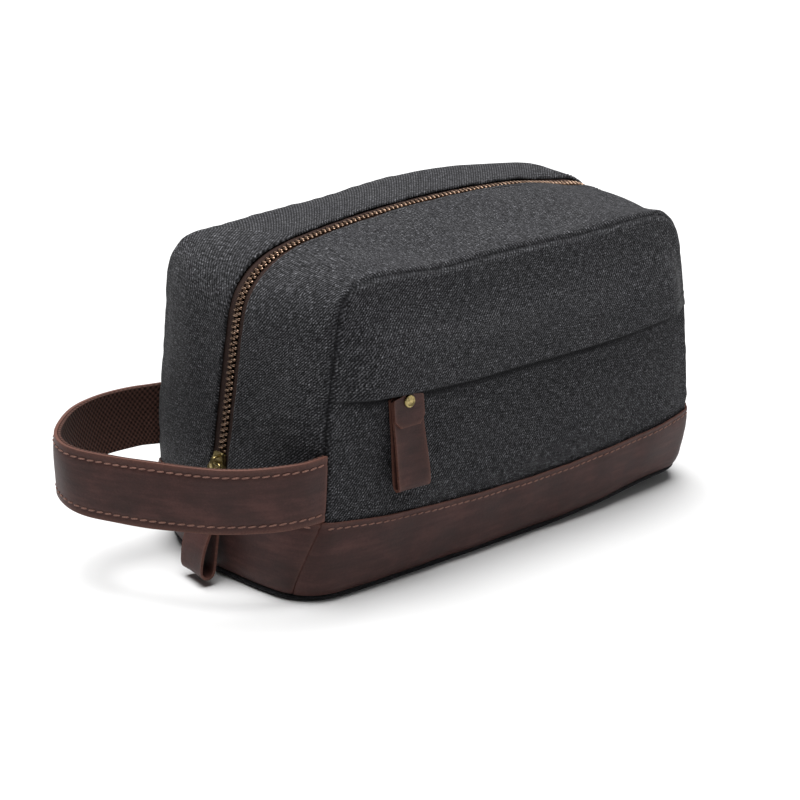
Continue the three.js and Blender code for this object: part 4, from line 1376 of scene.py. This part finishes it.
# ---- inside: linings, pockets and the board ----
def inner_sheet(name, node, side, region, depth, thickness=1.0):
    """A lining or pocket sheet under the front (side -1) or back (side 1)."""
    a, b = np.meshgrid(np.linspace(0, 1, 60), np.linspace(0, 1, 34), indexing="ij")
    x, z = region(a, b)
    grid = lifted(on_panel(side, x, z), -depth(a, b, x, z) + 0.3 * swell(x, z, 91, 50))
    piece = sheet(name, grid, flat_uv(x, z), LINING_PAINT, thickness, soft=0.2)
    finished(piece, "bag", [node])


def lining_region(a, b):
    corner_l, corner_r = along(SEAM, CORNER_L), along(SEAM, CORNER_R)
    inset, low = 3.4, 8.5
    side, over = inset * (1 - 0.3 * b), 0.7 * inset
    z_l, z_r = low + (corner_l[1] - low) * b, low + (corner_r[1] - low) * b
    left, right = left_seam(z_l) + side, right_seam(z_r) - side
    rim = mix(corner_l[1], corner_r[1], a) - over
    top = top_seam(mix(corner_l[0], corner_r[0], a)) - over
    z = mix(z_l - over * b, z_r - over * b, a) + b * (top - rim)
    return mix(left, right, a), z


def pouch(a, b, room=7.0):
    return room * smooth(a * 7) * smooth((1 - a) * 7) * smooth(b * 4)


inner_sheet("front_lining", "lining_front", -1, lining_region,
            lambda a, b, x, z: 4.3 + 8.5 * smooth(seam_distance(x, z) / 22))
inner_sheet("back_lining", "lining_back", 1, lining_region, lambda a, b, x, z: 4.3 + 0 * x)
inner_sheet("front_pocket_pouch", "front_pocket_bag", -1,
            lambda a, b: (-112 + 230 * a, 50 + 45.6 * b),
            lambda a, b, x, z: 2.2 + pouch(a, b), 0.8)
inner_sheet("inner_slip_pocket", "slip_pocket", 1,
            lambda a, b: (-70 + 146 * a, 32 + 73 * b), lambda a, b, x, z: 6.0 + pouch(a, b))


def gusset_linings():
    for name, side in (("front", -1), ("back", 1)):
        u, y, s = gusset_grid(0.2, LAST - 0.2, 61.5, 9, 4)
        grid = lifted(on_gusset(side, u, y), -3.3 + 0 * y)
        uv = np.stack([y, s], -1)
        piece = sheet(f"gusset_inside_{name}", grid, uv, LINING_PAINT, 1.0, soft=0.2)
        finished(piece, "bag", [f"gusset_lining_{name}"])


def floor_sheet(name, node, paint, places, inset, rounding, dip=0.0, thickness=None):
    """A flat sheet in the base with rounded corners, that dips a little to its edges."""
    low, high = box(node)
    a, b = np.meshgrid(*(np.linspace(-1, 1, count) for count in places), indexing="ij")
    centre, half = (low + high) / 2, (high - low) / 2 - inset
    x = centre[0] + half[0] * a * np.sqrt(1 - rounding[0] * b ** 8)
    y = centre[1] + half[1] * b * np.sqrt(1 - rounding[1] * a ** 8)
    z = high[2] - dip * np.maximum(np.abs(a), np.abs(b)) ** 6
    below = np.array([0, 0, -500.0])
    piece = sheet(name, np.stack([x, y, z], -1), flat_uv(x, y), paint,
                  thickness or high[2] - low[2], away=below, soft=0.2)
    finished(piece, "bag", [node])


gusset_linings()
floor_sheet("floor_lining_sheet", "lining_floor", LINING_PAINT, (60, 34), 0,
            (0.10, 0.22), 0.5, 0.8)
floor_sheet("floor_board", "base_board", BOARD_PAINT, (50, 26), 3, (0.16, 0.34))


# ---- floor, light and camera ----
def stage():
    white = Paint("white_floor", Roughness=0.85, Base_Color=(0.68, 0.68, 0.68, 1))
    bpy.ops.mesh.primitive_plane_add(size=30, location=(0, 0, 0))
    floor = bpy.context.object
    floor.name = "floor"
    floor.data.materials.append(white.material)
    world = bpy.data.worlds.new("studio")
    bpy.context.scene.world = world
    world.use_nodes = True
    background = world.node_tree.nodes["Background"]
    background.inputs["Color"].default_value = (1, 1, 1, 1)
    background.inputs["Strength"].default_value = 0.12


def hung(name, data, location, look):
    """A lamp or camera at a place, looking in a direction."""
    made = bpy.data.objects.new(name, data)
    bpy.context.scene.collection.objects.link(made)
    made.location = location
    made.rotation_euler = look.to_track_quat("-Z", "Y").to_euler()
    return made


def overhead():
    """One broad, soft light from above and a little behind."""
    light = bpy.data.lights.new("overhead", "SUN")
    light.energy, light.angle = 5.8, math.radians(52)
    hung("overhead", light, (0, 0, 0), Vector((-0.07, -0.13, -1)))


def softbox(name, location, target, size, power):
    light = bpy.data.lights.new(name, "AREA")
    light.shape, light.size, light.size_y, light.energy = "RECTANGLE", size[0], size[1], power
    hung(name, light, location, Vector(target) - Vector(location))


def camera():
    """Looks down on the strap end and the pocket side."""
    lens = bpy.data.cameras.new("camera")
    lens.sensor_width, lens.lens = 36, 99.86
    azimuth, elevation = math.radians(42.295), math.radians(18.005)
    level = math.cos(elevation)
    look = Vector((math.sin(azimuth) * level, math.cos(azimuth) * level, -math.sin(elevation)))
    bpy.context.scene.camera = hung("camera", lens, (-0.8029956, -0.8591125, 0.4438981), look)


stage()
overhead()
softbox("side", (0.75, -1.6, 0.8), (0, 0, 0.08), (1.0, 1.0), 3.0)
camera()
bpy.context.scene.view_settings.view_transform = "Standard"
